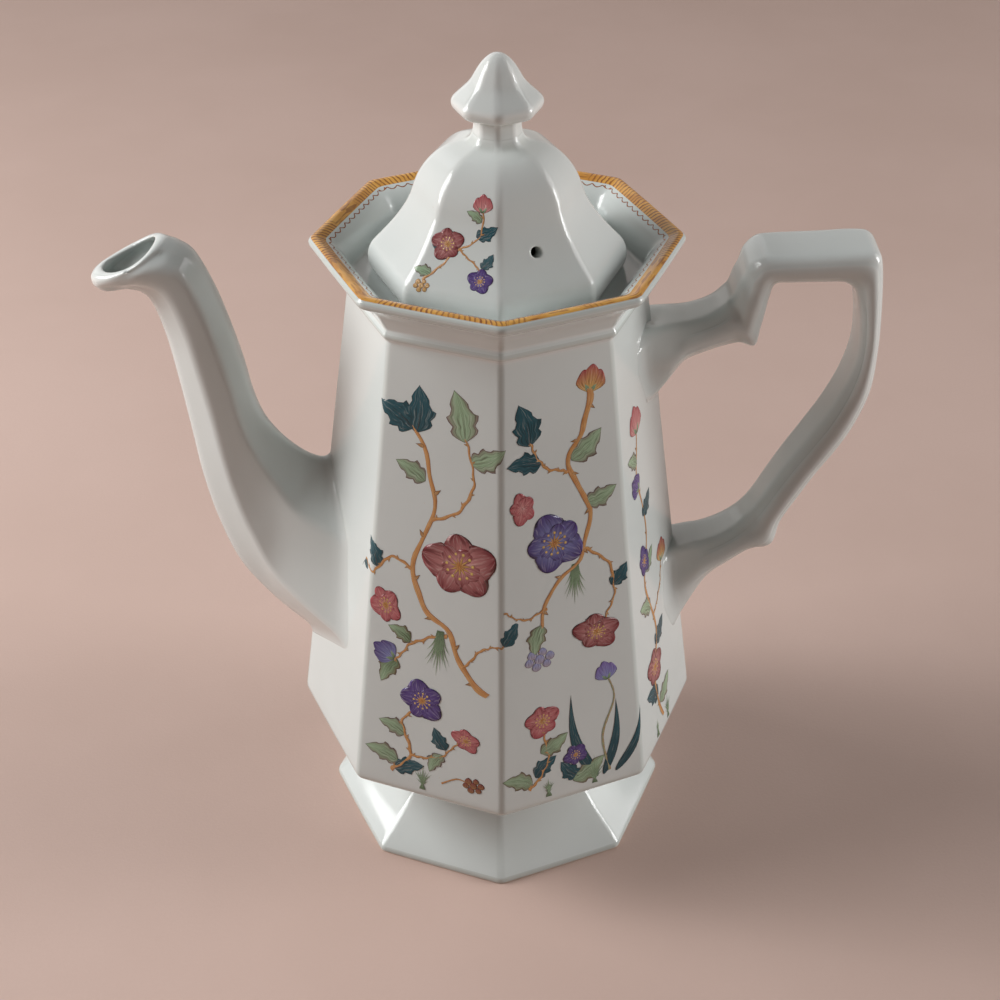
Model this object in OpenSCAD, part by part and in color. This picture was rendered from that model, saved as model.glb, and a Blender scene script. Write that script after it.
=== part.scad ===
// Octagonal coffee pot: body on a pedestal foot, flared collar, swan-neck spout, strap handle
// and a lift-off lid with a pointed knob. Millimetres. The origin is at the centre of the foot,
// on the surface the pot stands on; +Z is up, the spout points to -X and the handle to +X.
// A "corner radius" is measured from the axis to a corner of the octagon.

/* [Body] */
// Corner radius of the body at its widest, low down
belly_r = 60.7; // [57:0.1:63]
// Height of the widest part of the body
belly_z = 36.5; // [33:0.5:40]
// Corner radius of the top of the body, under the collar
neck_r = 41.9; // [40:0.1:45]
// Height of the top of the body, where the collar starts
neck_z = 177.8; // [165:0.1:190]
// Thickness of the body's wall, square to a face
wall = 4.5; // [3.5:0.1:5.5]
// Thickness of the body's floor
floor_t = 6; // [4:0.5:8]

/* [Foot] */
// Corner radius of the foot where it stands
foot_r = 52.2; // [48:0.1:57]
// Height of the upright edge round the foot
foot_edge = 1.8; // [1:0.1:3]
// Width of the bearing ring under the foot, corner to corner
foot_ring = 6; // [4:0.5:8]
// Width of the bevel over the foot's upright edge
foot_bevel = 2.2; // [1.5:0.1:3]
// Corner radius of the waist between foot and body
waist_r = 36; // [33:0.5:39]
// Height of the waist
waist_z = 18; // [16:0.5:20]

/* [Collar] */
// Corner radius of the rim at its widest
rim_r = 51.8; // [50:0.1:55]
// Height of the rim above the top of the body
collar_h = 16.6; // [15:0.1:20]
// Thickness of the rim's lip
lip_t = 2.2; // [1.6:0.1:3]
// Width of the rim's flat top, which slopes gently inwards
band_w = 5; // [3.5:0.1:6.5]
// Drop of the rim's flat top across its width
band_dip = 1.1; // [0.5:0.1:1.5]
// How far the half-round bead stands out of the collar
bead = 1.5; // [1:0.1:2]
// Height of the bead's middle above the top of the body
bead_up = 2.4; // [2.1:0.1:3]
// How far the mouth's edge lies inside the top of the body, corner to corner
mouth_in = 8.4; // [7.5:0.1:10.5]
// Depth of the lid's ledge below the rim
ledge_drop = 9.9; // [8:0.1:11]
// Thickness of the ledge at the mouth
ledge_t = 4; // [3:0.1:5]

/* [Strainer] */
// Diameter of each hole pierced through the wall behind the spout
strainer_d = 5; // [4:0.1:6]
// Distance between the strainer's holes
strainer_pitch = 8; // [7:0.1:9]
// Height of the strainer's middle row
strainer_z = 92; // [88:0.5:96]

/* [Spout] */
// Height where the spout's keel meets the body
spout_low = 61.5; // [58:0.5:66]
// Height where the spout's ridge meets the body
spout_high = 122.4; // [118:0.1:128]
// How far the pouring lip stands out from the body's corner at the keel
spout_reach = 54; // [49:0.5:59]
// Height of the pouring lip below the rim
spout_drop = 10.9; // [7:0.1:16]
// Half width of the spout's neck
spout_half = 9.4; // [8.5:0.1:10.5]
// Half width of the spout where it joins the body
spout_root_half = 25; // [22:0.5:27]
// Thickness of the spout's wall
spout_wall = 3; // [2.4:0.1:3.4]

/* [Handle] */
// Height of the lowest point of the handle's lower root
handle_low = 63; // [58:0.5:68]
// Depth of the handle's top below the rim
handle_drop = 4.4; // [2:0.1:8]
// How far the handle stands out from the line of the body's corner
handle_reach = 64.6; // [58:0.1:70]
// Half width of the handle across its side ridges
handle_half = 9.5; // [8.5:0.1:11]
// Half width of the handle's flat outer and inner faces
handle_flat = 6; // [5:0.1:7]

/* [Lid] */
// How far the lid's skirt laps over the mouth, corner to corner
lid_lap = 2.4; // [1.8:0.1:3.4]
// Room for the skirt inside the collar, corner to corner at the ledge
skirt_room = 4.4; // [3:0.1:5]
// Height of the lid's dome above its ledge, without the knob
lid_h = 37.3; // [35:0.1:40]
// Thickness of the lid's wall
lid_wall = 3.6; // [3:0.1:4.5]
// Corner radius where the lid's dome turns into its flared skirt
turn_r = 23; // [21.5:0.1:24.5]
// Height of that turn above the ledge
turn_up = 25.3; // [23:0.1:27]
// Corner radius of the flat crown under the knob
crown_r = 9.3; // [8.5:0.1:11]
// Height of the lid's skirt, up to its brow
brow_up = 8; // [6.5:0.1:9.5]
// How far the brow lies inside the skirt's widest line
brow_in = 1.6; // [1:0.1:2.2]
// Depth of the locating flange under the lid
flange_h = 8; // [6:0.5:10]
// Thickness of the flange, corner to corner
flange_t = 3.4; // [2.6:0.1:4]
// Bevel on the flange's lower outer edge
flange_bevel = 1; // [0.5:0.1:2]
// Clearance between flange and mouth, corner to corner
flange_gap = 0.9; // [0.5:0.1:1.2]
// Clearance between the lid's skirt and the ledge it rests on
seat_gap = 0.3; // [0.1:0.1:0.4]
// Diameter of the steam vent in the lid
vent_d = 3; // [2:0.1:4]
// Height of the vent above the ledge
vent_up = 13.8; // [11:0.1:16]
// Lean of the vent's axis from upright, in degrees
vent_tilt = 65; // [50:1:80]

/* [Knob] */
// Corner radius of the knob at its widest
knob_r = 12.6; // [11:0.1:15]
// Height of the knob above the lid
knob_h = 23.8; // [22:0.1:28]
// Corner radius of the knob's neck
knob_neck_r = 6.4; // [5.5:0.1:7.5]

/* [Hidden] */

sides = 8;                       // corners of the octagon; one lies on each of +X, -X, +Y and -Y
half_step = 180 / sides;         // from a corner to the middle of a face, in degrees
square_to_corner = 1 / cos(half_step);  // corner radius per unit of face distance
curve_steps = 10;                // straight pieces in each curve of a profile
span_steps = 3;                  // rings between two stations of the spout or the handle

wall_r = wall * square_to_corner;        // the body's wall, measured along a corner
rim_z = neck_z + collar_h;
ledge_z = rim_z - ledge_drop;
mouth_r = neck_r - mouth_in;             // corner radius of the mouth inside the lid's ledge
lid_z = ledge_z + seat_gap;              // underside of the lid's skirt
lid_top = lid_z + lid_h;
lid_wall_r = lid_wall * square_to_corner;
flange_r = mouth_r - flange_gap;
lid_r = mouth_r + lid_lap;               // corner radius of the lid's skirt at its widest
gallery_r = lid_r + skirt_room;          // corner radius of the collar's inside at the ledge

// Corner radius of the body's outside at height z: a straight line from belly to neck
function edge_r(z) = belly_r + (neck_r - belly_r) * (z - belly_z) / (neck_z - belly_z);
// Distance from the axis plane to the body's side at height z, y to one side of a corner
function side_x(z, y) = edge_r(z) - abs(y) * tan(half_step);

// Cubic curve from a to d, pulled towards b and c, without its first point
function curve(a, b, c, d) = [for (i = [1:curve_steps]) let (t = i / curve_steps, s = 1 - t)
    s*s*s*a + 3*s*s*t*b + 3*s*t*t*c + t*t*t*d];
// The same curve, with its two pulls given as shares of the way from a to d: [across, up]
function share_of_way(a, d, share) = [a[0] + (d[0] - a[0]) * share[0], a[1] + (d[1] - a[1]) * share[1]];
function bend(a, d, pull_a, pull_d) = curve(a, share_of_way(a, d, pull_a), share_of_way(a, d, pull_d), d);

// Smooth curve through a list of stations (Catmull-Rom), span_steps rings to a span
function between(a, b, c, d, t) =
    (2*b + (c - a)*t + (2*a - 5*b + 4*c - d)*t*t + (3*b - a - 3*c + d)*t*t*t) / 2;
function smooth(s) = let (last = len(s) - 1) concat([for (i = [0:last - 1]) for (k = [0:span_steps - 1])
    between(s[max(i - 1, 0)], s[i], s[i + 1], s[min(i + 2, last)], k / span_steps)], [s[last]]);

// One octagonal shell, turned from the half profile [corner radius, height]
module octagon_turned(profile) rotate_extrude($fn = sides) polygon(profile);

// Every point of ring i is joined to the same point of ring i + 1, seen from outside
function tube_faces(rings, n, first = 0) = [for (i = [0:rings - 2]) for (j = [0:n - 1])
    let (a = first + i*n + j, b = first + i*n + (j + 1) % n) each [[a, b, b + n], [a, b + n, a + n]]];
function flipped(faces) = [for (f = faces) [for (i = [len(f) - 1:-1:0]) f[i]]];
function flat_list(rings) = [for (r = rings) for (p = r) p];

// ---- body -------------------------------------------------------------------------------------

function body_outside() = concat([[0, waist_z], [waist_r, waist_z]],
    bend([waist_r, waist_z], [belly_r, belly_z], [0.2, 0.22], [0.6, 0.51]),
    [[neck_r, neck_z]]);
// The inside follows the outside one wall further in, and rounds down to a flat floor
function body_inside() = let (belly = [belly_r - wall_r, belly_z + wall],
        floor_edge = [waist_r - wall_r, waist_z + floor_t]) concat(
    [[neck_r - wall_r, neck_z], belly],
    bend(belly, floor_edge, [0, 0.32], [0.51, 0.94]),
    [[0, floor_edge[1]]]);

// Rows of holes round the corner behind the spout: [hole count, row] from bottom to top
strainer_rows = [[3, -1], [4, 0], [3, 1], [2, 2]];
module strainer_holes() for (row = strainer_rows) for (i = [0:row[0] - 1])
    translate([-edge_r(strainer_z), (i - (row[0] - 1) / 2) * strainer_pitch,
            strainer_z + row[1] * strainer_pitch * sin(60)])
        rotate([0, 90, 0]) cylinder(d = strainer_d, h = 4 * wall_r, center = true, $fn = 32);

module pot_body() color("gainsboro") difference() {
    octagon_turned(concat(body_outside(), body_inside()));
    strainer_holes();
}

// ---- foot -------------------------------------------------------------------------------------

// Outside from the standing edge up to the waist, inside back down to the bearing ring
module foot() color("lightgray") let (bevel = [foot_r - foot_bevel, foot_edge + foot_bevel],
        outer = [waist_r, waist_z], inner = [waist_r - foot_ring, waist_z],
        ring = [foot_r - foot_ring, 0]) octagon_turned(concat(
    [ring, [foot_r, 0], [foot_r, foot_edge], bevel],
    bend(bevel, outer, [0.27, 0.22], [0.71, 0.57]),
    [inner],
    bend(inner, ring, [0.25, 0.33], [0.63, 0.73])));

// ---- collar -----------------------------------------------------------------------------------

// Outside, from the groove over the body up through the bead and the cove to the lip
function collar_outside() = let (bead_z = neck_z + bead_up,
        lip = [rim_r - 0.45 * lip_t, rim_z - lip_t],
        cove = [neck_r + 0.75 * bead, bead_z + 1.35 * bead],
        bead_side = [for (a = [-90:30:90]) [neck_r + bead * cos(a), bead_z + bead * sin(a)]]) concat(
    [[neck_r, neck_z]], bead_side, [cove],
    bend(cove, lip, [0.03, 0.34], [0.44, 0.74]),
    [[rim_r, rim_z - 0.75 * lip_t], [rim_r, rim_z - 0.35 * lip_t], [rim_r - 0.35 * lip_t, rim_z]]);
// Inside, from the rim down the flare to the lid's ledge and the mouth
function collar_inside() = let (band = [rim_r - band_w, rim_z - band_dip],
        gallery = [gallery_r, ledge_z]) concat(
    [band],
    bend(band, gallery, [0.37, 0.08], [0.78, 0.43]),
    [[mouth_r, ledge_z], [mouth_r, ledge_z - ledge_t], [neck_r - wall_r, neck_z]]);

module collar() color("whitesmoke") octagon_turned(concat(collar_outside(), collar_inside()));

// ---- spout ------------------------------------------------------------------------------------

// Stations from the root to the pouring lip, as drawn, stretched to the reach and the rise:
// [keel out, keel up, ridge out, ridge up, half width as a share of the neck's,
//  where the lower and the upper shoulders lie on the way from keel to ridge]
spout_stations = [
    [10.5, 11, -2.9, 62.8, 1.40, 0.28, 0.76],
    [20, 24.5, 3.6, 68, 1.12, 0.35, 0.80],
    [25.6, 40.5, 9, 75.3, 1.02, 0.40, 0.82],
    [29, 56.5, 11.9, 83.5, 1, 0.43, 0.82],
    [31, 72.5, 14, 94.5, 1, 0.43, 0.81],
    [33, 88, 16.6, 105.5, 1, 0.42, 0.80],
    [35.5, 104, 20.2, 117.5, 1, 0.42, 0.80],
    [39, 115.5, 25, 128.5, 0.98, 0.42, 0.80],
    [45, 119, 30.4, 133, 0.96, 0.42, 0.80],
    [50.8, 117.8, 33, 134, 0.92, 0.36, 0.80],
    [54, 122, 34.2, 133.4, 0.86, 0.28, 0.76]];
spout_drawn_tip = spout_stations[len(spout_stations) - 1];
spout_rise = rim_z - spout_drop - spout_low;
spout_stretch = [spout_reach / spout_drawn_tip[0], spout_rise / spout_drawn_tip[1]];
// The root's outline on the body's faces: [how far up from keel to ridge, half width share]
spout_root = [[0, 0], [0.205, 1], [0.715, 0.7], [1, 0]];

// A six-sided ring: keel, two shoulders on each side, ridge; `inset` moves it inwards
function spout_ring(s, inset) = let (
        kx = s[0] * spout_stretch[0], kz = s[1] * spout_stretch[1],
        rx = s[2] * spout_stretch[0], rz = s[3] * spout_stretch[1],
        depth = norm([rx - kx, rz - kz]), w = s[4] * spout_half - inset, e = inset / depth,
        row = [[e, 0], [s[5], w], [s[6], w], [1 - e, 0], [s[6], -w], [s[5], -w]])
    [for (p = row) [-edge_r(spout_low) - kx - (rx - kx) * p[0], p[1],
        spout_low + kz + (rz - kz) * p[0]]];
function root_ring(inset) = let (rise = spout_high - spout_low, e = 1.4 * inset / rise,
        lo = spout_root[1], up = spout_root[2],
        row = [[e, 0], [lo[0] + e / 2, lo[1] * spout_root_half - inset],
            [up[0], up[1] * spout_root_half - inset], [1 - e, 0],
            [up[0], inset - up[1] * spout_root_half], [lo[0] + e / 2, inset - lo[1] * spout_root_half]])
    [for (p = row) let (z = spout_low + rise * p[0]) [-side_x(z, p[1]), p[1], z]];
function spout_rings(inset) = concat([root_ring(inset)],
    [for (s = smooth(spout_stations)) spout_ring(s, inset)]);

module spout() color("gainsboro") {
    outer = spout_rings(0);
    inner = spout_rings(spout_wall);
    corners = len(outer[0]);
    rings = len(outer);
    total = rings * corners;
    at_root = [for (j = [0:corners - 1]) let (k = (j + 1) % corners)
        each [[j, total + k, k], [j, total + j, total + k]]];
    lip = total - corners;
    at_lip = [for (j = [0:corners - 1]) let (k = (j + 1) % corners)
        each [[lip + j, lip + k, total + lip + k], [lip + j, total + lip + k, total + lip + j]]];
    polyhedron(points = concat(flat_list(outer), flat_list(inner)),
        faces = concat(tube_faces(rings, corners), flipped(tube_faces(rings, corners, total)),
            at_root, at_lip));
}

// ---- handle -----------------------------------------------------------------------------------

// Stations from the upper root over the top and down to the lower root, as drawn, stretched to
// the reach and the rise: [outer out, outer up, inner out, inner up, half width share, outer flat
// share, inner flat share]; "out" is measured from the line of the body's corner
handle_stations = [
    [4.7, 104.6, 2.2, 88, 1.06, 1.1, 0.8],
    [9.8, 105.3, 7.6, 94.8, 1, 1, 0.8],
    [14.4, 106.7, 13.6, 98, 0.98, 0.95, 0.85],
    [18.1, 108.5, 19.4, 100.3, 0.98, 0.95, 0.9],
    [21, 110.8, 23.5, 101.2, 0.98, 0.95, 0.95],
    [23.1, 113.2, 27, 100.8, 0.98, 0.95, 1],
    [24.9, 116, 28.8, 105.6, 1, 1, 1],
    [26.8, 119.3, 30.3, 110.5, 1, 1, 1],
    [28.6, 123, 31.5, 115, 1, 1.1, 1],
    [31.6, 126.2, 33.8, 118.8, 1, 1.25, 1],
    [36, 126.8, 36.8, 119.5, 1, 1.33, 1],
    [49.5, 126.9, 48.8, 119.5, 1, 1.33, 1],
    [59, 127, 54.8, 119.3, 1, 1.33, 1],
    [63.2, 126.6, 57.5, 117.3, 1, 1.2, 1],
    [64.6, 122.5, 58.2, 114, 1, 1.05, 1],
    [63.9, 109, 57.7, 106, 0.98, 1, 1],
    [62.4, 97, 55.8, 96, 0.96, 1, 0.98],
    [58.9, 84.9, 52.3, 86, 0.94, 1, 0.95],
    [54, 73.7, 47.4, 75.5, 0.92, 1, 0.95],
    [48.2, 65, 41.6, 67, 0.9, 1, 0.92],
    [42, 57.2, 35.9, 59, 0.9, 1, 0.88],
    [35.6, 48.3, 30.1, 50.5, 0.9, 1, 0.85],
    [30.5, 40.6, 25.7, 44, 0.9, 1, 0.82],
    [27.4, 32.5, 22.1, 39.3, 0.92, 0.95, 0.82],
    [21.6, 32, 18, 35.3, 0.94, 0.9, 0.85],
    [15.6, 28.3, 13.1, 32.3, 0.96, 0.85, 0.9],
    [9.8, 23.5, 7.8, 29.8, 0.98, 0.75, 0.95],
    [5.5, 16.5, 4.1, 28.3, 1, 0.6, 1]];
handle_rise = rim_z - handle_drop - handle_low;
handle_stretch = [handle_reach / max([for (s = handle_stations) s[0]]),
    handle_rise / max([for (s = handle_stations) s[1]])];
// Outlines of the two roots on the body's faces: [height above handle_low as drawn, half width]
upper_root = [[104.2, 0], [102.3, 1], [97, 1.13], [82.5, 0.7], [79, 0]];
lower_root = [[0, 0], [5, 0.6], [17, 1], [25.5, 0.95], [27, 0]];

function drawn_z(up) = handle_low + up * handle_stretch[1];
function drawn_x(out, z) = edge_r(z) + out * handle_stretch[0];
// An eight-point ring: the middle and ends of both flats, and a ridge on each side
function handle_ring(s) = let (oz = drawn_z(s[1]), iz = drawn_z(s[3]),
        ox = drawn_x(s[0], oz), ix = drawn_x(s[2], iz),
        w = s[4] * handle_half, fo = s[5] * handle_flat, fi = s[6] * handle_flat,
        row = [[0, 0], [0, fo], [0.5, w], [1, fi], [1, 0], [1, -fi], [0.5, -w], [0, -fo]])
    [for (p = row) [ox + (ix - ox) * p[0], p[1], oz + (iz - oz) * p[0]]];
// A root has the same eight points; `out` lists its [height, half width] from outside to inside
function handle_root(out) = let (half = [for (p = out) [drawn_z(p[0]), p[1] * handle_half]],
        row = concat(half, [for (i = [3:-1:1]) [half[i][0], -half[i][1]]]))
    [for (p = row) [side_x(p[0], p[1]), p[1], p[0]]];

module handle() color("silver") {
    rings = concat([handle_root(upper_root)],
        [for (s = smooth(handle_stations)) handle_ring(s)],
        [handle_root(lower_root)]);
    corners = len(rings[0]);
    last = (len(rings) - 1) * corners;
    upper_end = [[4, 3, 2, 1, 0], [0, 7, 6, 5, 4]];
    lower_end = [[for (j = [0:4]) last + j], [for (j = [4:8]) last + j % corners]];
    polyhedron(points = flat_list(rings),
        faces = concat(tube_faces(len(rings), corners), upper_end, lower_end));
}

// ---- lid --------------------------------------------------------------------------------------

function lid_outside() = let (crown = [crown_r, lid_top], turn = [turn_r, ledge_z + turn_up],
        brow = [lid_r - brow_in, lid_z + brow_up]) concat(
    [[0, lid_top], crown],
    bend(crown, turn, [0.47, 0.02], [0.82, 0.35]),
    bend(turn, brow, [0.11, 0.32], [0.44, 0.62]),
    curve(brow, [lid_r - 0.25 * brow_in, lid_z + 0.8 * brow_up],
        [lid_r + 0.25 * brow_in, lid_z + 0.38 * brow_up], [lid_r - 0.7 * brow_in, lid_z]));
function lid_inside() = let (skirt = [flange_r - flange_t, lid_z],
        turn = [turn_r - lid_wall_r, ledge_z + turn_up - 0.55 * lid_wall],
        crown = [0.8 * crown_r, lid_top - lid_wall]) concat(
    [skirt],
    bend(skirt, turn, [0, 0.26], [0.85, 0.7]),
    bend(turn, crown, [0.08, 0.47], [0.66, 1]),
    [[0, crown[1]]]);

module lid_cover() color("whitesmoke") difference() {
    octagon_turned(concat(lid_outside(), lid_inside()));
    // The vent goes straight in through the middle of the face to the right of the front corner
    rotate([0, 0, -90 + half_step]) translate([turn_r - lid_wall, 0, ledge_z + vent_up])
        rotate([0, vent_tilt, 0]) cylinder(d = vent_d, h = 5 * lid_wall, center = true, $fn = 32);
}

// The flange's lower outer edge is bevelled, to find its way into the mouth
module lid_flange() color("gainsboro") octagon_turned([
    [flange_r - flange_t, lid_z], [flange_r, lid_z], [flange_r, lid_z - flange_h + flange_bevel],
    [flange_r - flange_bevel, lid_z - flange_h], [flange_r - flange_t, lid_z - flange_h]]);

// A waisted neck under a mushroom that draws up to a point
module lid_knob() color("white") let (knob_top = lid_top + knob_h,
        foot = [1.25 * knob_neck_r, lid_top],
        throat = [1.05 * knob_neck_r, lid_top + 0.33 * knob_h],
        rim = [knob_r, lid_top + 0.43 * knob_h],
        shoulder = [0.52 * knob_r, lid_top + 0.72 * knob_h],
        tip = [0.03 * knob_r, knob_top]) octagon_turned(concat(
    [[0, lid_top], foot],
    bend(foot, throat, [1.23, 0.19], [1.23, 0.75]),
    bend(throat, rim, [0.42, 0.25], [0.95, 0.33]),
    bend(rim, shoulder, [0.02, 0.26], [0.7, 0.74]),
    bend(shoulder, tip, [0.15, 0.26], [0.48, 0.97]),
    [[0, knob_top]]));

pot_body();
foot();
collar();
spout();
handle();
lid_cover();
lid_flange();
lid_knob();
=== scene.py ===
# %% [markdown]
# # An octagonal coffee pot with a lift-off lid
# The pot is glazed earthenware: an eight-sided body on a small foot, a flared collar, a swan-neck
# spout, a strap handle, and a lid with a pointed knob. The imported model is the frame: it says where
# each part is, in metres, with the standing surface at height 0, the spout to -X and the handle to +X.

# %% Load the frame
import math

import bpy
import numpy as np
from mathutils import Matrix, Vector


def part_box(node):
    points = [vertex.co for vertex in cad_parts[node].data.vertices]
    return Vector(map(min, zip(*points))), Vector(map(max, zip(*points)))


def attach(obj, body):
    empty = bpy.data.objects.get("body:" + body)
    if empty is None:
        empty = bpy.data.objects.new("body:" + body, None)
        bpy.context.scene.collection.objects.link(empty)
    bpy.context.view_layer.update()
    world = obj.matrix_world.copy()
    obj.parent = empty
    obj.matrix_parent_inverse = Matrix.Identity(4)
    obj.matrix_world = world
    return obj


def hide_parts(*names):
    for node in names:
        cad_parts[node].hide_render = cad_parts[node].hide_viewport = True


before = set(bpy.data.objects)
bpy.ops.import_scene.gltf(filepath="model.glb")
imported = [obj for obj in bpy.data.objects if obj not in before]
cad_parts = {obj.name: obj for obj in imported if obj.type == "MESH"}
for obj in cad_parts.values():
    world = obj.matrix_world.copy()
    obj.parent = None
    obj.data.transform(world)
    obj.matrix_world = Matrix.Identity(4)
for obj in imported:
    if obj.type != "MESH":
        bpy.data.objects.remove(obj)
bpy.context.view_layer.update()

MM = 0.001

# %% [markdown]
# Sizes are read from the boxes of the solids, so a piece keeps its place if the frame is packed
# again with other sizes. Everything is worked out in millimetres and made metres at the last moment.

# %% Sizes from the frame


def box_mm(node):
    """Lowest and highest corner of a solid, in millimetres."""
    low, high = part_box(node)
    return np.array(low) / MM, np.array(high) / MM


BELLY_R = box_mm("pot_body")[1][0]     # corner radius of the body at its widest
WAIST_Z = box_mm("pot_body")[0][2]
NECK_Z = box_mm("pot_body")[1][2]
FOOT_R = box_mm("foot")[1][0]
RIM_R, RIM_Z = box_mm("collar")[1][[0, 2]]
SKIRT_R, LID_TOP = box_mm("lid_cover")[1][[0, 2]]
LID_Z = box_mm("lid_cover")[0][2]
FLANGE_R = box_mm("lid_flange")[1][0]
FLANGE_Z = box_mm("lid_flange")[0][2]
KNOB_R, KNOB_TOP = box_mm("lid_knob")[1][[0, 2]]
SPOUT_LOW, SPOUT_TIP = box_mm("spout")[0][2], box_mm("spout")[0][0]
SPOUT_ROOT_HALF = box_mm("spout")[1][1]
HANDLE_LOW, HANDLE_TOP = box_mm("handle")[0][2], box_mm("handle")[1][2]

BELLY_Z = 36.5                         # height of the widest part
NECK_R = 41.9                          # corner radius under the collar
WAIST_R = 36.0                         # corner radius between foot and body
WALL = 4.5                             # the body's wall, square to a face
LEDGE_Z = LID_Z - 0.3                  # the lid floats this little over its ledge
HALF_STEP = math.radians(22.5)         # from a corner of the octagon to the middle of a face
SQUARE = math.cos(HALF_STEP)           # face distance for a corner radius of 1
print("rim", RIM_R, RIM_Z, "lid", SKIRT_R, LID_Z, LID_TOP, "knob", KNOB_R, KNOB_TOP)

# %% [markdown]
# ## Profiles
# A potter turns or moulds every one of these parts from a profile: a line of corners and curves.
# Glaze then flows over it and takes the sharpness off. A bevel modifier could do that to a finished
# mesh, but it needs clean corners all round, so here the line itself is softened first: each point
# becomes the mean of the points near it, and the window is wide only near the corners that are soft.

# %% Lines, curves and softness
STEP = 0.1           # spacing of the points along a line while it is softened, mm
WINDOWS = np.array([0.0, 0.5, 1.0, 2.0, 4.0, 8.0])   # windows that are worked out, mm
SOFT_SPAN = 2.2      # a corner softens the line up to this many times its softness away
ON_CURVE = np.linspace(0, 1, 25)[1:, None]           # places on a curve, after its first point


def corner(r, z, soft=0.0, edge=2.0):
    """One corner of a profile: [corner radius, height, how soft, radius of the octagon's edges]."""
    return np.array([[r, z, soft, edge]], float)


def cubic(t, a, b, c, d):
    """Cubic curve from a to d, pulled towards b and c:
    (1-t)^3 a + 3 t (1-t)^2 b + 3 t^2 (1-t) c + t^3 d."""
    return (1 - t) ** 3 * a + 3 * (1 - t) ** 2 * t * b + 3 * (1 - t) * t * t * c + t ** 3 * d


def bend(a, d, pull_a, pull_d):
    """Cubic curve from a to d: its two pulls are shares of the way from a to d, [across, up]."""
    a, d = a[-1], d[-1]
    b, c = a.copy(), d.copy()
    b[:2] += (d - a)[:2] * pull_a
    c[:2] -= (d - a)[:2] * (1 - np.array(pull_d))
    p = cubic(ON_CURVE, a, b, c, d)
    p[:, 2] = 0
    p[-1, 2] = d[2]
    return p


def walked(path):
    """Distance walked along a line up to each of its points."""
    return np.concatenate([[0], np.cumsum(np.linalg.norm(np.diff(path[:, :2], axis=0), axis=1))])


def sliding_mean(p, window):
    """Mean over a sliding window, taken twice. Past an end the line goes on as its own half turn."""
    n = int(window / STEP / 2)
    if n < 1:
        return p
    pad = 2 * n + 2
    longer = np.concatenate([2 * p[0] - p[pad:0:-1], p, 2 * p[-1] - p[-2:-pad - 2:-1]])
    kernel = np.ones(2 * n + 1) / (2 * n + 1)
    for _ in range(2):
        longer = np.stack([np.convolve(c, kernel, "same") for c in longer.T], 1)
    return longer[pad:-pad]


def softened(rows):
    """The profile every STEP, with each corner's softness spread about as far as it is wide."""
    rows = np.concatenate(rows)
    far = walked(rows)
    at = np.arange(0, far[-1], STEP)
    line = np.stack([np.interp(at, far, rows[:, i]) for i in (0, 1, 3)], 1)
    soft = np.zeros(len(at))
    for where, width in zip(far[rows[:, 2] > 0], rows[rows[:, 2] > 0, 2]):
        soft = np.maximum(soft, width * np.clip(SOFT_SPAN - np.abs(at - where) / width, 0, 1))
    level = np.interp(soft, WINDOWS, np.arange(len(WINDOWS)))
    low = np.minimum(level.astype(int), len(WINDOWS) - 2)
    share = (level - low)[:, None]
    stack = np.stack([sliding_mean(line[:, :2], w) for w in WINDOWS])
    each = np.arange(len(at))
    line[:, :2] = stack[low, each] * (1 - share) + stack[low + 1, each] * share
    return line


def thinned(line, longest, turn=7.0):
    """Fewer points: one each time the length over `longest` plus the turn over `turn` gains 1."""
    way = np.diff(line[:, :2], axis=0)
    angle = np.unwrap(np.arctan2(way[:, 1], way[:, 0]))
    gain = np.linalg.norm(way, axis=1) / longest
    gain[1:] += np.abs(np.diff(angle)) / math.radians(turn)
    measure = np.concatenate([[0], np.cumsum(gain)])
    want = np.linspace(0, measure[-1], int(measure[-1]) + 2)
    return np.stack([np.interp(want, measure, c) for c in line.T], 1)


# %% [markdown]
# ## Octagonal shells
# The cross-section is a regular octagon with rounded corners. A lathe (Spin) with eight steps would
# give it sharp ones, so each ring is written as a formula instead: shrink the octagon by the
# corner's radius f, then push every point out again by f along its own normal. On the flats the
# normal stands still; at a corner the point stands still and the normal swings by 45 degrees.

# %% The rounded octagon
TURN_STEPS = 5       # columns on each rounded corner
SWELL_FROM = 40.0    # a flat this far from the axis, or further, swells in full, mm


def facing(face):
    """Angle at which a face looks. Face 0 is the one to the right of the front corner."""
    return -math.pi / 2 + HALF_STEP * (1 + 2 * face)


def octagon_columns(flat):
    """For each column round the ring: unit octagon point, outward normal, and place on the flat."""
    swing = np.linspace(0, 2 * HALF_STEP, TURN_STEPS + 2)[1:-1]
    face = facing(np.arange(8))[:, None]
    normal_at = np.concatenate([np.zeros(len(flat)), swing])[None] + face
    place = np.concatenate([flat, np.ones(TURN_STEPS)])
    across = place * math.tan(HALF_STEP)
    unit = np.stack([np.cos(face) - across * np.sin(face), np.sin(face) + across * np.cos(face)], -1)
    normal = np.stack([np.cos(normal_at), np.sin(normal_at)], -1)
    return unit.reshape(-1, 2), normal.reshape(-1, 2), np.tile(place, 8)


def shell(line, columns, swell=0.0):
    """Grid of points: (a - f) * octagon + f * normal at height z, where a = r * cos(22.5 deg).
    The flats swell by `swell` mm in their middle, as a cast wall does."""
    unit, normal, place = columns
    r, z, f = line.T
    a = r * SQUARE
    f = np.minimum(f, 0.75 * a)            # near the axis the ring stays an octagon
    full = swell * np.minimum(a / SWELL_FROM, 1)[:, None] * (1 - place ** 2)[None]
    xy = (a - f)[:, None, None] * unit + (f[:, None] + full)[..., None] * normal
    return np.concatenate([xy, np.broadcast_to(z[:, None, None], (*xy.shape[:2], 1))], -1)


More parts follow.
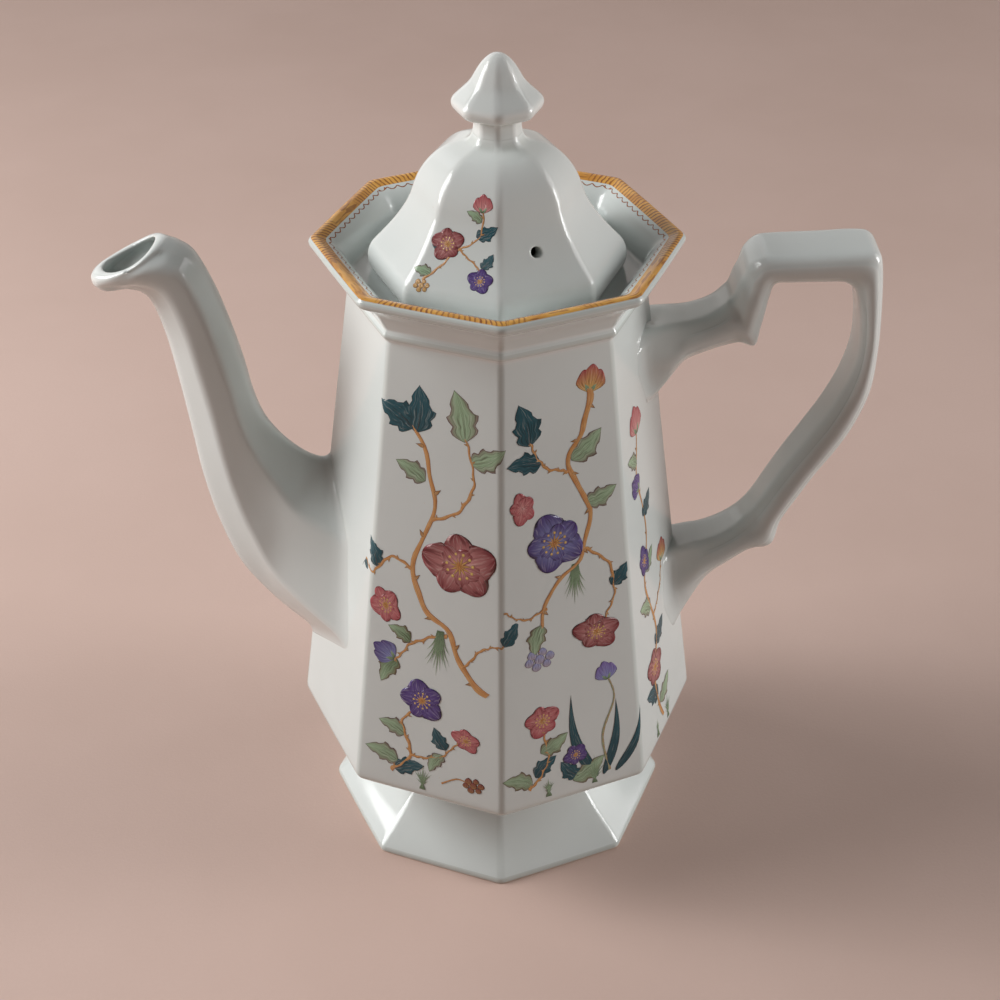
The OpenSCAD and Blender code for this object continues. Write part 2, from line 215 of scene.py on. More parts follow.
def relief(grid):
    """How much the surface bends at each point, 1 over mm: above 0 on a ridge, below 0 in a hollow.
    It is the change of direction between the steps before and after, measured along the normal."""
    down = np.gradient(grid, axis=0)
    right = (np.roll(grid, -1, 1) - np.roll(grid, 1, 1)) / 2
    normal = np.cross(right, down)
    normal /= np.linalg.norm(normal, axis=-1, keepdims=True) + 1e-9
    total = np.zeros(grid.shape[:2])
    for axis in (0, 1):
        ahead, behind = np.roll(grid, -1, axis) - grid, grid - np.roll(grid, 1, axis)
        la, lb = (np.linalg.norm(v, axis=-1, keepdims=True) + 1e-6 for v in (ahead, behind))
        turning = ((ahead / la - behind / lb) * normal).sum(-1) / ((la + lb)[..., 0] / 2)
        if axis == 0:
            turning[[0, -1]] = 0
        total += turning
    return total


# %% [markdown]
# ## From arrays to pieces
# `from_pydata` would need the arrays as Python lists; `foreach_set` takes them as they are.
# A grid gives four-sided faces, a pole gives a fan of triangles, and the sign of the enclosed volume
# tells whether the faces look outwards.

# %% Meshes from arrays
pieces = {}


def grid_faces(rows, cols, around=True, along=False, first=0):
    """Corners of the quads of a grid whose columns close `around` and whose rows close `along`."""
    i = np.arange(rows if along else rows - 1)[:, None]
    j = np.arange(cols if around else cols - 1)[None]
    ni, nj = (i + 1) % rows, (j + 1) % cols
    quad = np.stack([i * cols + j, i * cols + nj, ni * cols + nj, ni * cols + j], -1)
    return quad.reshape(-1, 4) + first


def fan(pole, ring):
    """Triangles from one pole point to a closed ring of points."""
    return np.stack([np.full(len(ring), pole), ring, np.roll(ring, -1)], 1)


def volume(points, quads, tris):
    """Enclosed volume: the sum of the solid corners that each triangle makes with the origin."""
    t = np.concatenate([quads[:, :3], quads[:, [0, 2, 3]], tris])
    a, b, c = points[t[:, 0]], points[t[:, 1]], points[t[:, 2]]
    return float(np.einsum("ij,ij->", a, np.cross(b, c)) / 6)


def make_piece(name, points, quads, tris=None, values=None, colours=None, uv=None, solid=True):
    """A smooth mesh object from points in mm, with named values, colours and a UV map per point."""
    tris = np.zeros((0, 3), int) if tris is None else tris
    if solid and volume(points, quads, tris) < 0:
        quads, tris = quads[:, ::-1], tris[:, ::-1]
    used, back = np.unique(np.concatenate([quads.ravel(), tris.ravel()]), return_inverse=True)
    mesh = bpy.data.meshes.new(name)
    mesh.vertices.add(len(used))
    mesh.vertices.foreach_set("co", (points[used] * MM).ravel())
    mesh.loops.add(len(back))
    mesh.loops.foreach_set("vertex_index", back.astype(np.int32))
    mesh.polygons.add(len(quads) + len(tris))
    starts = np.concatenate([np.arange(len(quads)) * 4, 4 * len(quads) + np.arange(len(tris)) * 3])
    mesh.polygons.foreach_set("loop_start", starts.astype(np.int32))
    mesh.polygons.foreach_set("use_smooth", np.ones(len(starts), bool))
    for key, value in (values or {}).items():
        mesh.attributes.new(key, "FLOAT", "POINT").data.foreach_set(
            "value", np.asarray(value, np.float32).ravel()[used])
    if colours is not None:
        rgba = np.concatenate([colours[used], np.ones((len(used), 1))], 1)
        mesh.attributes.new("paint", "FLOAT_COLOR", "POINT").data.foreach_set(
            "color", rgba.astype(np.float32).ravel())
    if uv is not None:
        mesh.uv_layers.new(name="strokes").data.foreach_set(
            "uv", uv[used][back].astype(np.float32).ravel())
    mesh.update(calc_edges=True)
    mesh.validate()
    piece = bpy.data.objects.new(name, mesh)
    bpy.context.scene.collection.objects.link(piece)
    pieces[name] = piece
    size = points[used].max(0) - points[used].min(0)
    print(name, "faces", len(starts), "size mm", size.round(1))
    return piece


def capped(grid, first_pole, last_pole):
    """A tube closed by a fan at each end: its points, quads, triangles, and how much it bends."""
    rows, cols = grid.shape[:2]
    tris = np.concatenate([fan(rows * cols, np.arange(cols))[:, ::-1],
                           fan(rows * cols + 1, (rows - 1) * cols + np.arange(cols))])
    return (np.concatenate([grid.reshape(-1, 3), [first_pole, last_pole]]), grid_faces(rows, cols), tris,
            np.append(relief(grid).ravel(), [0, 0]))


def glazed(name, points, quads, tris, bends, bare_under=-1.0):
    """A skin of glazed ware. It carries how much it bends, and where it stands bare of glaze."""
    return make_piece(name, points, quads, tris, {"relief": bends, "bare": points[:, 2] < bare_under})


# %% [markdown]
# ## Foot, body and collar
# On the real pot these are cast in one and glazed together, so one closed skin stands for all
# three: it starts under the floor, goes round the foot, up the outside, over the rim, down past the
# ledge that carries the lid, and along the inside back to the middle of the floor.

# %% The pot's profile
BAND_W, BAND_DIP, LIP_T = 5.0, 1.2, 3.3          # the rim: enamel band, its slope, the lip
BEAD, BEAD_UP, FLOOR_T = 1.5, 2.5, 6.0           # bead under the collar, and the floor
MOUTH_R, LEDGE_T, GALLERY_R = 33.5, 4.0, 40.3    # the mouth, its ledge, and the wall above it
EDGE = 3.0           # radius of the body's upright edges
INNER_EDGE = 4.5     # glaze fills the inner ones more


def pot_profile():
    """The whole line, from the middle of the underside to the middle of the floor inside."""
    wall_r = WALL / SQUARE
    ring_in, edge_up, bevel = FOOT_R - 6, 1.8, 2.2
    under, waist = corner(WAIST_R - 6, WAIST_Z, 2, 3), corner(WAIST_R, WAIST_Z, 3.4, 3.4)
    bevelled = corner(FOOT_R - bevel, edge_up + bevel, 1.8, 3.8)
    belly = corner(BELLY_R, BELLY_Z, 3.2, EDGE)
    bead_z = NECK_Z + BEAD_UP
    a = np.radians(np.arange(-75, 91, 15))
    bead = np.stack([NECK_R + BEAD * np.cos(a), bead_z + BEAD * np.sin(a), 0 * a, 0 * a + 2], 1)
    bead[0, 2], bead[-1, 2] = 0.9, 1.2
    cove = corner(NECK_R + 0.8 * BEAD, bead_z + 1.6 * BEAD, 2.4, 2.6)
    lip = corner(RIM_R - 0.30 * LIP_T, RIM_Z - LIP_T, 1.6, 3.2)
    crest = corner(RIM_R - 2.2, RIM_Z + 0.12, 1.6, 4.0)
    band = corner(RIM_R - BAND_W, RIM_Z - BAND_DIP, 1.8, 4.2)
    gallery = corner(GALLERY_R, LEDGE_Z, 1.6, 3.6)
    belly_in = corner(BELLY_R - wall_r, BELLY_Z + WALL, 4, INNER_EDGE)
    floor_in = corner(WAIST_R - wall_r, WAIST_Z + FLOOR_T, 3, INNER_EDGE)
    return [corner(0, WAIST_Z), under,
            bend(under, corner(ring_in, 0, 1, 2), [0.37, 0.27], [0.75, 0.67]),
            corner(FOOT_R, 0, 0.9, 3.4), corner(FOOT_R, edge_up, 1.2, 3.6), bevelled,
            bend(bevelled, waist, [0.27, 0.22], [0.71, 0.57]),
            bend(waist, belly, [0.2, 0.22], [0.6, 0.51]),
            corner(NECK_R, NECK_Z, 0.8, EDGE), bead, cove,
            bend(cove, lip, [0.03, 0.34], [0.44, 0.74]),
            corner(RIM_R, RIM_Z - 0.68 * LIP_T, 1.2, 3.6), corner(RIM_R, RIM_Z - 0.36 * LIP_T, 1.2, 3.8),
            corner(RIM_R - 0.8, RIM_Z - 0.25, 1.2, 4.0), crest, band,
            bend(band, gallery, [0.37, 0.08], [0.78, 0.43]),
            corner(MOUTH_R, LEDGE_Z, 1.2, 3.0), corner(MOUTH_R, LEDGE_Z - LEDGE_T, 1.2, 3.0),
            corner(NECK_R - wall_r, NECK_Z, 2, INNER_EDGE), belly_in,
            bend(belly_in, floor_in, [0, 0.32], [0.51, 0.94]),
            corner(0, WAIST_Z + FLOOR_T, 0, INNER_EDGE)]


pot_line = softened(pot_profile())
print("pot line", len(pot_line), "points,", round(walked(pot_line)[-1]), "mm long")

# %% The pot's skin
BODY_FLATS = [-1, -0.97, -0.9, -0.6, -0.3, 0, 0.3, 0.6, 0.9, 0.97, 1]
SWELL = 0.12         # the body's flats stand out this much in their middle, mm
LONGEST = 5.0        # longest step along the line, mm
BARE_UNDER = 0.35    # the ring that the foot stands on is wiped clean of glaze up to here, mm


def closed_skin(line, columns, swell):
    """A shell whose first and last points are poles on the axis."""
    return capped(shell(line[1:-1], columns, swell), [0, 0, line[0, 1]], [0, 0, line[-1, 1]])


glazed("pot_skin", *closed_skin(thinned(pot_line, LONGEST), octagon_columns(BODY_FLATS), SWELL), BARE_UNDER)

# %% [markdown]
# The strainer behind the spout is a group of round holes through the wall. They lie inside the
# pot, where the shading of a cut face doesn't show, so a boolean with twelve plain pins is enough.

# %% The strainer's holes
HOLE_D, HOLE_PITCH, STRAINER_Z = 5.0, 8.0, 92.0
HOLE_ROWS = [(3, -1), (4, 0), (3, 1), (2, 2)]    # holes in each row, and the row's number
PIN_OUT, PIN_IN, PIN_SIDES = 8, 14, 24           # reach of the pins from the body's edge, and their sides


def edge_r(z):
    """Corner radius of the body's outside at height z, on the straight part."""
    return BELLY_R + (NECK_R - BELLY_R) * (z - BELLY_Z) / (NECK_Z - BELLY_Z)


def pierce(piece, centres, radius, x_from, x_to):
    """Cuts round holes along X: one closed pin for each centre, taken away together."""
    turn = np.linspace(0, 2 * math.pi, PIN_SIDES, endpoint=False)
    ring = np.stack([0 * turn, np.cos(turn) * radius, np.sin(turn) * radius], 1)
    around = np.arange(PIN_SIDES)
    points, quads, tris = [], [], []
    for n, (y, z) in enumerate(centres):
        ends = np.stack([ring + [x, y, z] for x in (x_from, x_to)]).reshape(-1, 3)
        points.append(np.concatenate([ends, [[x_from, y, z], [x_to, y, z]]]))
        first = n * (2 * PIN_SIDES + 2)
        pole = first + 2 * PIN_SIDES
        quads.append(grid_faces(2, PIN_SIDES, first=first))
        tris += [fan(pole, first + around)[:, ::-1], fan(pole + 1, first + PIN_SIDES + around)]
    cutter = make_piece("pins", np.concatenate(points), np.concatenate(quads), np.concatenate(tris))
    cut = piece.modifiers.new("holes", "BOOLEAN")
    cut.object, cut.operation, cut.solver = cutter, "DIFFERENCE", "EXACT"
    graph = bpy.context.evaluated_depsgraph_get()
    done = bpy.data.meshes.new_from_object(piece.evaluated_get(graph))
    piece.modifiers.clear()
    piece.data = done
    bpy.data.objects.remove(cutter)
    del pieces["pins"]
    print("holes cut:", len(centres), "faces now", len(done.polygons))


centres = [((i - (n - 1) / 2) * HOLE_PITCH, STRAINER_Z + row * HOLE_PITCH * math.sin(math.radians(60)))
           for n, row in HOLE_ROWS for i in range(n)]
wall_x = -edge_r(STRAINER_Z)
pierce(pieces["pot_skin"], centres, HOLE_D / 2, wall_x - PIN_OUT, wall_x + PIN_IN)

# %% [markdown]
# ## Spout and handle
# Both are lofts: a row of stations, each a six-cornered ring, joined by a smooth curve. The corners
# of every ring are rounded with a quadratic curve, so the glaze seems to have run over the ridges.
# At the root a fillet of glaze spreads out on the body's faces: close to the wall, each point moves
# outwards along the face by f * (1 - sqrt(1 - (1 - h / f)^2)), which is a quarter of a circle.

# %% Lofts with rounded rings
ARC, FLAT = 7, 3     # points on a rounded corner, and between two of them
SINK = 0.5           # a loft's end rings lie this deep in the body's wall, mm


def smooth_rows(stations, u):
    """Catmull-Rom curve through the stations, at the places u = 0 ... number of stations - 1."""
    last = len(stations) - 1
    i = np.minimum(u.astype(int), last - 1)
    t = (u - i).reshape(-1, *[1] * (stations.ndim - 1))
    a, b, c, d = (stations[np.clip(i + k, 0, last)] for k in (-1, 0, 1, 2))
    return (2 * b + (c - a) * t + (2 * a - 5 * b + 4 * c - d) * t ** 2
            + (3 * b - a - 3 * c + d) * t ** 3) / 2


def rounded(corners, reach, push):
    """Rings of corners (rings, k, 3) made round: a curve B = (1-t)^2 P + 2t(1-t) Q + t^2 R at each
    corner Q, where P and R lie `reach` mm along its two sides, and straight stretches between.
    `push` moves a corner out by that share of what its rounding takes off."""
    before, after = np.roll(corners, 1, 1) - corners, np.roll(corners, -1, 1) - corners
    reach = np.broadcast_to(reach, corners.shape[:2])
    p, r = (corners + way * np.minimum(reach / (np.linalg.norm(way, axis=-1) + 1e-9), 0.49)[..., None]
            for way in (before, after))
    moved = corners + (corners - (p + r) / 2) * 0.5 * np.asarray(push)[:, None]
    p, r, corners = (side[:, :, None] for side in (p + (moved - corners), r + (moved - corners), moved))
    t = np.linspace(0, 1, ARC)[:, None]
    curve = (1 - t) ** 2 * p + 2 * t * (1 - t) * corners + t ** 2 * r
    s = np.linspace(0, 1, FLAT + 2)[1:-1, None]
    side = (1 - s) * r + s * np.roll(p, -1, 1)
    return np.concatenate([curve, side], 2).reshape(len(corners), -1, 3)


def pot_side(y, z):
    """Distance of the body's outside from the plane x = 0, next to the rounded corner on the X axis."""
    r = edge_r(z)
    centre = (r * SQUARE - EDGE) / SQUARE
    near = centre + np.sqrt(np.maximum(EDGE ** 2 - y ** 2, 0))
    return np.where(np.abs(y) < EDGE * math.sin(HALF_STEP), near, r - np.abs(y) * math.tan(HALF_STEP))


def root_fillet(rings, side, radius):
    """Spreads the first rings of a loft over the body's faces, round the outline of its first ring.
    `side` is -1 for the spout's corner and +1 for the handle's; `radius` is the fillet's."""
    root = rings[0].copy()
    swing = HALF_STEP * np.clip(root[:, 1] / (EDGE * math.sin(HALF_STEP)), -1, 1)
    lean = (BELLY_R - NECK_R) * SQUARE / (NECK_Z - BELLY_Z)
    normal = np.stack([side * np.cos(swing), np.sin(swing), np.full_like(swing, lean)], 1)
    normal /= np.linalg.norm(normal, axis=1, keepdims=True)
    along = np.roll(root, -1, 0) - np.roll(root, 1, 0)
    out = np.cross(along, normal)
    out /= np.linalg.norm(out, axis=1, keepdims=True)
    out *= np.sign(((root - root.mean(0)) * out).sum(1).mean())
    height = ((rings - root) * normal).sum(-1)
    share = np.clip(1 - height / radius, 0, 1)
    spread = radius * (1 - np.sqrt(1 - share ** 2))
    moved = rings + out * spread[..., None]
    moved[0] -= normal * SINK
    return moved


# %% [markdown]
# The spout rises from a wide root to a slender neck and bends over to a pouring lip. Its rings have
# a keel below, a ridge above and two shoulders on each side. Inside runs a second, smaller tube, and
# a rolled lip joins the two, so the whole spout is one closed skin.

# %% The spout's measures
SPOUT_HIGH, SPOUT_HALF, SPOUT_WALL = 122.4, 9.4, 3.0
SPOUT_DROP = 11.9                     # the lip's tip lies this far below the rim
SPOUT_FILLET = 3.0
ROOT_LOW, ROOT_HIGH, ROOT_SHOULDER = 0.205, 0.715, 0.7   # shoulders of the root, as shares
MOUTH_DROP = 0.7                      # the mouth's sides lie this far under its ends
MOUTH_INSET = [[3.8, 2.4, 2.4], [4.2, 2.1, 2.1], [4.4, 2.0, 1.9]]   # inner tube at the last rings
OVAL_FROM, OVAL_OVER = 2.4, 2.2       # the rings turn oval this many stations before the mouth
SPOUT_PUSH = [0.85, 0.6, 0.6, 0.85, 0.6, 0.6]
# how far the rounding reaches at some stations, for keel, lower and upper shoulders
SOFT_AT = [0, 2, 8, 10, 12]
SOFT_REACH = [[3.5, 5.0, 5.0, 8.0, 12.0], [2.6, 2.4, 2.6, 6.0, 12.0], [2.4, 2.0, 2.2, 5.0, 12.0]]
# keel out, keel up, ridge out, ridge up, half width, lower and upper shoulder on the way up
SPOUT_STATIONS = np.array([
    [10.5, 11, -2.9, 62.8, 1.40, 0.28, 0.76],
    [20, 24.5, 3.6, 68, 1.12, 0.35, 0.80],
    [25.6, 40.5, 9, 75.3, 1.02, 0.40, 0.82],
    [29, 56.5, 11.9, 83.5, 1, 0.43, 0.82],
    [31, 72.5, 14, 94.5, 1, 0.43, 0.81],
    [33, 88, 16.6, 105.5, 1, 0.42, 0.80],
    [35.5, 104, 20.2, 117.5, 1, 0.42, 0.80],
    [39.2, 115.6, 24.6, 127.6, 0.98, 0.42, 0.80],
    [45, 118.4, 28.4, 131.0, 0.97, 0.42, 0.80],
    [50.8, 117.6, 31.2, 132.6, 0.96, 0.42, 0.78],
    [53.4, 119.4, 32.6, 133.1, 0.95, 0.42, 0.74],
    [54, 121.4, 33.6, 133.2, 0.94, 0.40, 0.70]])

# %% The spout's rings


def spout_corners(inset):
    """Rings of six corners: the root on the body's faces, then one for each station. `inset` gives
    how far keel, sides and ridge move inwards at each ring."""
    keel_in, side_in, ridge_in = inset.T
    s = SPOUT_STATIONS.copy()
    s[:, [0, 2]] *= (-SPOUT_TIP - edge_r(SPOUT_LOW)) / SPOUT_STATIONS[-1, 0]
    s[:, [1, 3]] *= (RIM_Z - SPOUT_DROP - SPOUT_LOW) / SPOUT_STATIONS[-1, 1]
    keel, ridge = (np.stack([-edge_r(SPOUT_LOW) - s[:, i], SPOUT_LOW + s[:, i + 1]], 1) for i in (0, 2))
    way = ridge - keel
    depth = np.linalg.norm(way, axis=1)
    low, high = keel_in[1:] / depth, ridge_in[1:] / depth
    half = s[:, 4] * SPOUT_HALF - side_in[1:]
    share = np.stack([low, s[:, 5], s[:, 6], 1 - high, s[:, 6], s[:, 5]], 1)
    y = half[:, None] * [0, 1, 1, 0, -1, -1]
    xz = keel[:, None] + way[:, None] * share[..., None]
    rings = np.stack([xz[..., 0], y, xz[..., 1]], -1)
    e = 1.4 * inset[0, 0]                              # the inner tube's root lies this far inside
    tall = SPOUT_HIGH - SPOUT_LOW
    low_up, high_up = ROOT_LOW * tall + e / 2, ROOT_HIGH * tall
    wide, narrow = (k * SPOUT_ROOT_HALF - inset[0, 1] for k in (1, ROOT_SHOULDER))
    z = SPOUT_LOW + np.array([e, low_up, high_up, tall - e, high_up, low_up])
    y = np.array([0, wide, narrow, 0, -narrow, -wide])
    return np.concatenate([np.stack([-pot_side(y, z), y, z], 1)[None], rings])


def ovalled(rings, corners, share, drop):
    """Draws each ring towards an oval through its keel, ridge and sides, by `share` of the way. The
    oval's sides lie `drop` mm lower than the line from keel to ridge: centre + a cos(w) + b sin(w)
    - n drop sin(w)^2, with w the turn of the ring's own point; it is a little fuller near the ridge."""
    centre, a = (corners[:, [3]] + corners[:, [0]]) / 2, (corners[:, [3]] - corners[:, [0]]) / 2
    half, size = corners[:, [1], 1], (a * a).sum(-1)
    w = np.arctan2(rings[..., 1] / half, ((rings - centre) * a).sum(-1) / size)[..., None]
    normal = np.stack([-a[..., 2], 0 * a[..., 0], a[..., 0]], -1) / np.sqrt(size)[..., None]
    oval = centre + a * np.cos(w) - normal * drop * np.sin(w) ** 2
    oval[..., 1] = (half[..., None] * np.sin(w) * (1 + 0.12 * np.cos(w)))[..., 0]
    return rings + (oval - rings) * share[:, None, None]


def spout_tube(inset, reach):
    """One tube of the spout: its corners follow a smooth curve, then every ring is rounded, and the
    last ones turn into the mouth's oval."""
    corners = spout_corners(inset)
    last = len(corners) - 1
    root = [0, 0.012, 0.03, 0.06, 0.1, 0.16, 0.25, 0.4, 0.6, 0.8]
    u = np.concatenate([root, np.arange(1, last + 0.01, 0.125)])
    smooth = smooth_rows(corners, u)
    near = np.clip((u - last + OVAL_FROM) / OVAL_OVER, 0, 1)
    rings = rounded(smooth, smooth_rows(reach, u), SPOUT_PUSH)
    rings = ovalled(rings, smooth, near * near * (3 - 2 * near), MOUTH_DROP)
    rings[0, :, 0] = -pot_side(rings[0, :, 1], rings[0, :, 2])
    return rings


# %% The spout
stations = len(SPOUT_STATIONS) + 1
keel_soft, low_soft, high_soft = (np.interp(np.arange(stations), SOFT_AT, row) for row in SOFT_REACH)
reach = np.stack([keel_soft, low_soft, high_soft, keel_soft * 0.8, high_soft, low_soft], 1)
outer = spout_tube(np.zeros((stations, 3)), reach)
inset = np.full((stations, 3), SPOUT_WALL)
inset[-3:] = MOUTH_INSET
inner = spout_tube(inset, reach)

# The rolled lip is a cubic curve from the outer wall to the inner one. It leaves both along the
# walls' own directions, pulled by half of the wall's thickness.
thick = np.linalg.norm(outer[-1] - inner[-1], axis=1, keepdims=True)
way = [tube[-1] - tube[-3] for tube in (outer, inner)]
pulled = [tube[-1] + v / np.linalg.norm(v, axis=1, keepdims=True) * thick * 0.5
          for tube, v in zip((outer, inner), way)]
lip = cubic(np.linspace(0, 1, 11)[:, None, None], outer[-1], *pulled, inner[-1])

outer = root_fillet(outer, -1, SPOUT_FILLET)
inner[0] += [SPOUT_WALL / 3, 0, 0]
grid = np.concatenate([outer[:-1], lip, inner[:-1][::-1]])
glazed("spout_skin", grid.reshape(-1, 3), grid_faces(*grid.shape[:2], along=True), None, relief(grid).ravel())

# %% [markdown]
# The handle is a strap with a flat outer and inner face and a low ridge along each side. It leaves
# the body level, kinks upwards into a flat thumb rest, turns down at a soft corner and sweeps back to
# a second root low on the body. Under each kink a small spur points outwards.

# %% The handle's measures
HANDLE_HALF, HANDLE_FLAT, HANDLE_FILLET = 10.3, 6.9, 2.6
HANDLE_REACH = np.array([3.0, 3.4, 2.6, 2.6, 3.4, 3.0])
HANDLE_PUSH = [0.5, 0.7, 0.5, 0.5, 0.7, 0.5]
# outer out, outer up, inner out, inner up, half width, outer flat, inner flat
HANDLE_STATIONS = np.array([
    [4.7, 105.8, 2.2, 87.2, 1.04, 1.1, 0.8],
    [9.8, 106.5, 7.6, 93.9, 1, 1, 0.8],
    [14.4, 107.9, 13.6, 97, 0.98, 0.95, 0.85],
    [18.1, 109.7, 19.4, 99.2, 0.98, 0.95, 0.9],
    [20.8, 112, 23.7, 100.2, 0.98, 0.95, 0.95],
    [22.6, 113.9, 27.8, 99.4, 0.98, 0.95, 1],
    [24.2, 117.2, 29.7, 104.8, 1, 1, 1],
    [25.9, 120.2, 31.3, 109.8, 1, 1, 1],
    [27.6, 123.7, 32.6, 114.3, 1, 1.1, 1],
    [30.9, 126.4, 34.6, 118.6, 1, 1.22, 1],
    [35, 127.2, 39.2, 119.0, 1, 1.26, 1],
    [48.5, 127.7, 48.8, 119.1, 1, 1.26, 1],
    [58.5, 128.2, 53.6, 118.9, 1, 1.26, 1],
    [62.9, 127.6, 56.2, 116.9, 1, 1.15, 1],
    [64.2, 123.2, 57.2, 113.6, 1, 1.05, 1],
    [63.6, 109, 57.6, 106, 0.98, 1, 1],
    [62.3, 97, 56.6, 96, 0.96, 1, 0.98],
    [59.9, 84.5, 53.0, 86, 0.95, 1, 0.95],
    [55, 73.3, 47.2, 75.7, 0.94, 1, 0.95],
    [49.3, 64.4, 41.2, 67.3, 0.93, 1, 0.92],
    [43.2, 56.4, 35.3, 59.4, 0.93, 1, 0.88],
    [37, 47.4, 29.5, 51, 0.93, 1, 0.85],
    [31.9, 39.5, 25.3, 44.6, 0.93, 1, 0.82],
    [28.8, 31.2, 21.8, 40.3, 0.94, 0.95, 0.82],
    [22.2, 29.2, 17.7, 36.6, 0.95, 0.9, 0.85],
    [15.9, 24.8, 12.9, 33.7, 0.96, 0.85, 0.9],
    [9.9, 19.9, 7.8, 31.7, 0.98, 0.75, 0.95],
    [5.5, 13.6, 4.1, 30.9, 1, 0.6, 1]])
# the roots on the body's faces: three corners each, how far up and how wide
ROOTS = np.array([[[104.4, 0.9], [97, 1.08], [81.5, 0.6]], [[1.4, 0.45], [14, 1.0], [28.8, 0.75]]])
RISE = (HANDLE_TOP - HANDLE_LOW) / 127.0         # the stations are written for a handle 127 mm high

# %% The handle


def handle_corners():
    """Rings of six corners: two ends of the outer flat, a side ridge, two ends of the inner flat,
    and the other ridge. The first and last ring lie on the body's faces."""
    s = HANDLE_STATIONS
    outer, inner = (np.stack([edge_r(HANDLE_LOW + s[:, i + 1] * RISE) + s[:, i],
                              HANDLE_LOW + s[:, i + 1] * RISE], 1) for i in (0, 2))
    share = np.array([0, 0.5, 1, 1, 0.5, 0])
    xz = outer[:, None] + (inner - outer)[:, None] * share[:, None]
    w, fo, fi = (s[:, i] * half for i, half in ((4, HANDLE_HALF), (5, HANDLE_FLAT), (6, HANDLE_FLAT)))
    y = np.stack([fo, w, fi, -fi, -w, -fo], 1)
    rings = np.stack([xz[..., 0], y, xz[..., 1]], -1)
    roots = []
    for up, wide in ROOTS[:, [0, 1, 2, 2, 1, 0]].transpose(0, 2, 1):
        z, y = HANDLE_LOW + up * RISE, wide * HANDLE_HALF * [1, 1, 1, -1, -1, -1]
        roots.append(np.stack([pot_side(y, z), y, z], 1)[None])
    return np.concatenate([roots[0], rings, roots[1]])


corners = handle_corners()
last = len(corners) - 1
ease = np.array([0, 0.02, 0.06, 0.12, 0.2, 0.32, 0.5, 0.75])
u = np.concatenate([ease, np.arange(1, last - 0.99, 1 / 6), (last - ease)[::-1]])
rings = rounded(smooth_rows(corners, u), HANDLE_REACH, HANDLE_PUSH)
for end in (0, -1):
    rings[end, :, 0] = pot_side(rings[end, :, 1], rings[end, :, 2])
for _ in range(2):
    rings = root_fillet(rings, 1, HANDLE_FILLET)[::-1]
glazed("handle_skin", *capped(rings, rings[0].mean(0) - [1, 0, 0], rings[-1].mean(0) - [1, 0, 0]))

# %% [markdown]
# ## The lid
# The lid is one skin too: from the knob's tip down the waisted neck, over the crown and the flared
# skirt, round under it, down and up the flange that keeps it in the mouth, and back up inside.
# The steam vent is a true hole. A boolean would leave uneven shading on the face round it, so a
# small window of the grid is taken out instead, outside and inside, and rings of points lead from
# the window's edge to the circle and through the wall.

# %% The lid's profile
TURN_R, TURN_Z, CROWN_R = 22.7, LEDGE_Z + 25.3, 9.3
LID_R = SKIRT_R + 0.29                # the skirt's pull points lie a little outside its widest line
BROW_IN, BROW_UP, LID_WALL, FLANGE_T = 1.6, 8.0, 3.6, 3.4
NECK = 6.4                            # corner radius of the knob's neck
KNOB_H = KNOB_TOP - LID_TOP
LID_EDGE, LID_SWELL = 3.0, 0.08       # radius of the lid's ridges, and how far its flats swell


def knob(r, up, soft, edge):
    """A corner of the knob, `up` being a share of its height."""
    return corner(r, LID_TOP + up * KNOB_H, soft, edge)


def lid_profile():
    """The whole line, from the knob's tip to the middle of the dome inside."""
    tip, shoulder = knob(0.03 * KNOB_R, 1, 0, 2.0), knob(0.58 * KNOB_R, 0.70, 2.2, 3.6)
    rim, under = knob(1.02 * KNOB_R, 0.475, 2.2, 4.2), knob(0.97 * KNOB_R, 0.385, 1.8, 3.8)
    throat, foot = knob(1.05 * NECK, 0.30, 1.8, 2.6), knob(1.22 * NECK, 0.01, 2.6, 2.8)
    crown, turn = corner(CROWN_R, LID_TOP - 0.3, 3.0, 3.4), corner(TURN_R, TURN_Z, 1.5, 3.4)
    brow = corner(LID_R - BROW_IN, LID_Z + BROW_UP, 1.6, LID_EDGE)
    skirt = corner(LID_R - 0.7 * BROW_IN, LID_Z, 0.8, 2.6)
    lobe = cubic(ON_CURVE, brow, corner(LID_R - 0.25 * BROW_IN, LID_Z + 0.8 * BROW_UP),
                 corner(LID_R + 0.25 * BROW_IN, LID_Z + 0.38 * BROW_UP), skirt)
    lobe[:-1, 2], lobe[:, 3] = 0, 2.8
    lobe[-1, 2] = 0.8
    seat_in = corner(FLANGE_R - FLANGE_T, LID_Z, 1, 2.5)
    turn_in = corner(TURN_R - LID_WALL / SQUARE, TURN_Z - 0.55 * LID_WALL, 2, 3)
    crown_in = corner(0.8 * CROWN_R, LID_TOP - LID_WALL, 2, 3)
    return [corner(0, KNOB_TOP, 0, 1.2), tip, bend(tip, shoulder, [0.52, 0.03], [0.85, 0.74]),
            bend(shoulder, rim, [0.2, 0.30], [0.86, 0.80]), under,
            bend(under, throat, [0.1, 0.5], [0.6, 0.85]),
            bend(throat, foot, [-0.23, 0.25], [-0.23, 0.81]), crown,
            bend(crown, turn, [0.40, 0.05], [0.82, 0.40]), bend(turn, brow, [0.11, 0.32], [0.44, 0.62]),
            lobe, corner(FLANGE_R, LID_Z, 0.8, 2), corner(FLANGE_R, FLANGE_Z + 1, 0.6, 2),
            corner(FLANGE_R - 1, FLANGE_Z, 0.8, 2), corner(FLANGE_R - FLANGE_T, FLANGE_Z, 1, 2.5),
            seat_in, bend(seat_in, turn_in, [0, 0.26], [0.85, 0.7]),
            bend(turn_in, crown_in, [0.08, 0.47], [0.66, 1]), corner(0, LID_TOP - LID_WALL)]


lid_line = softened(lid_profile())
print("lid line", len(lid_line), "points,", round(walked(lid_line)[-1]), "mm long")

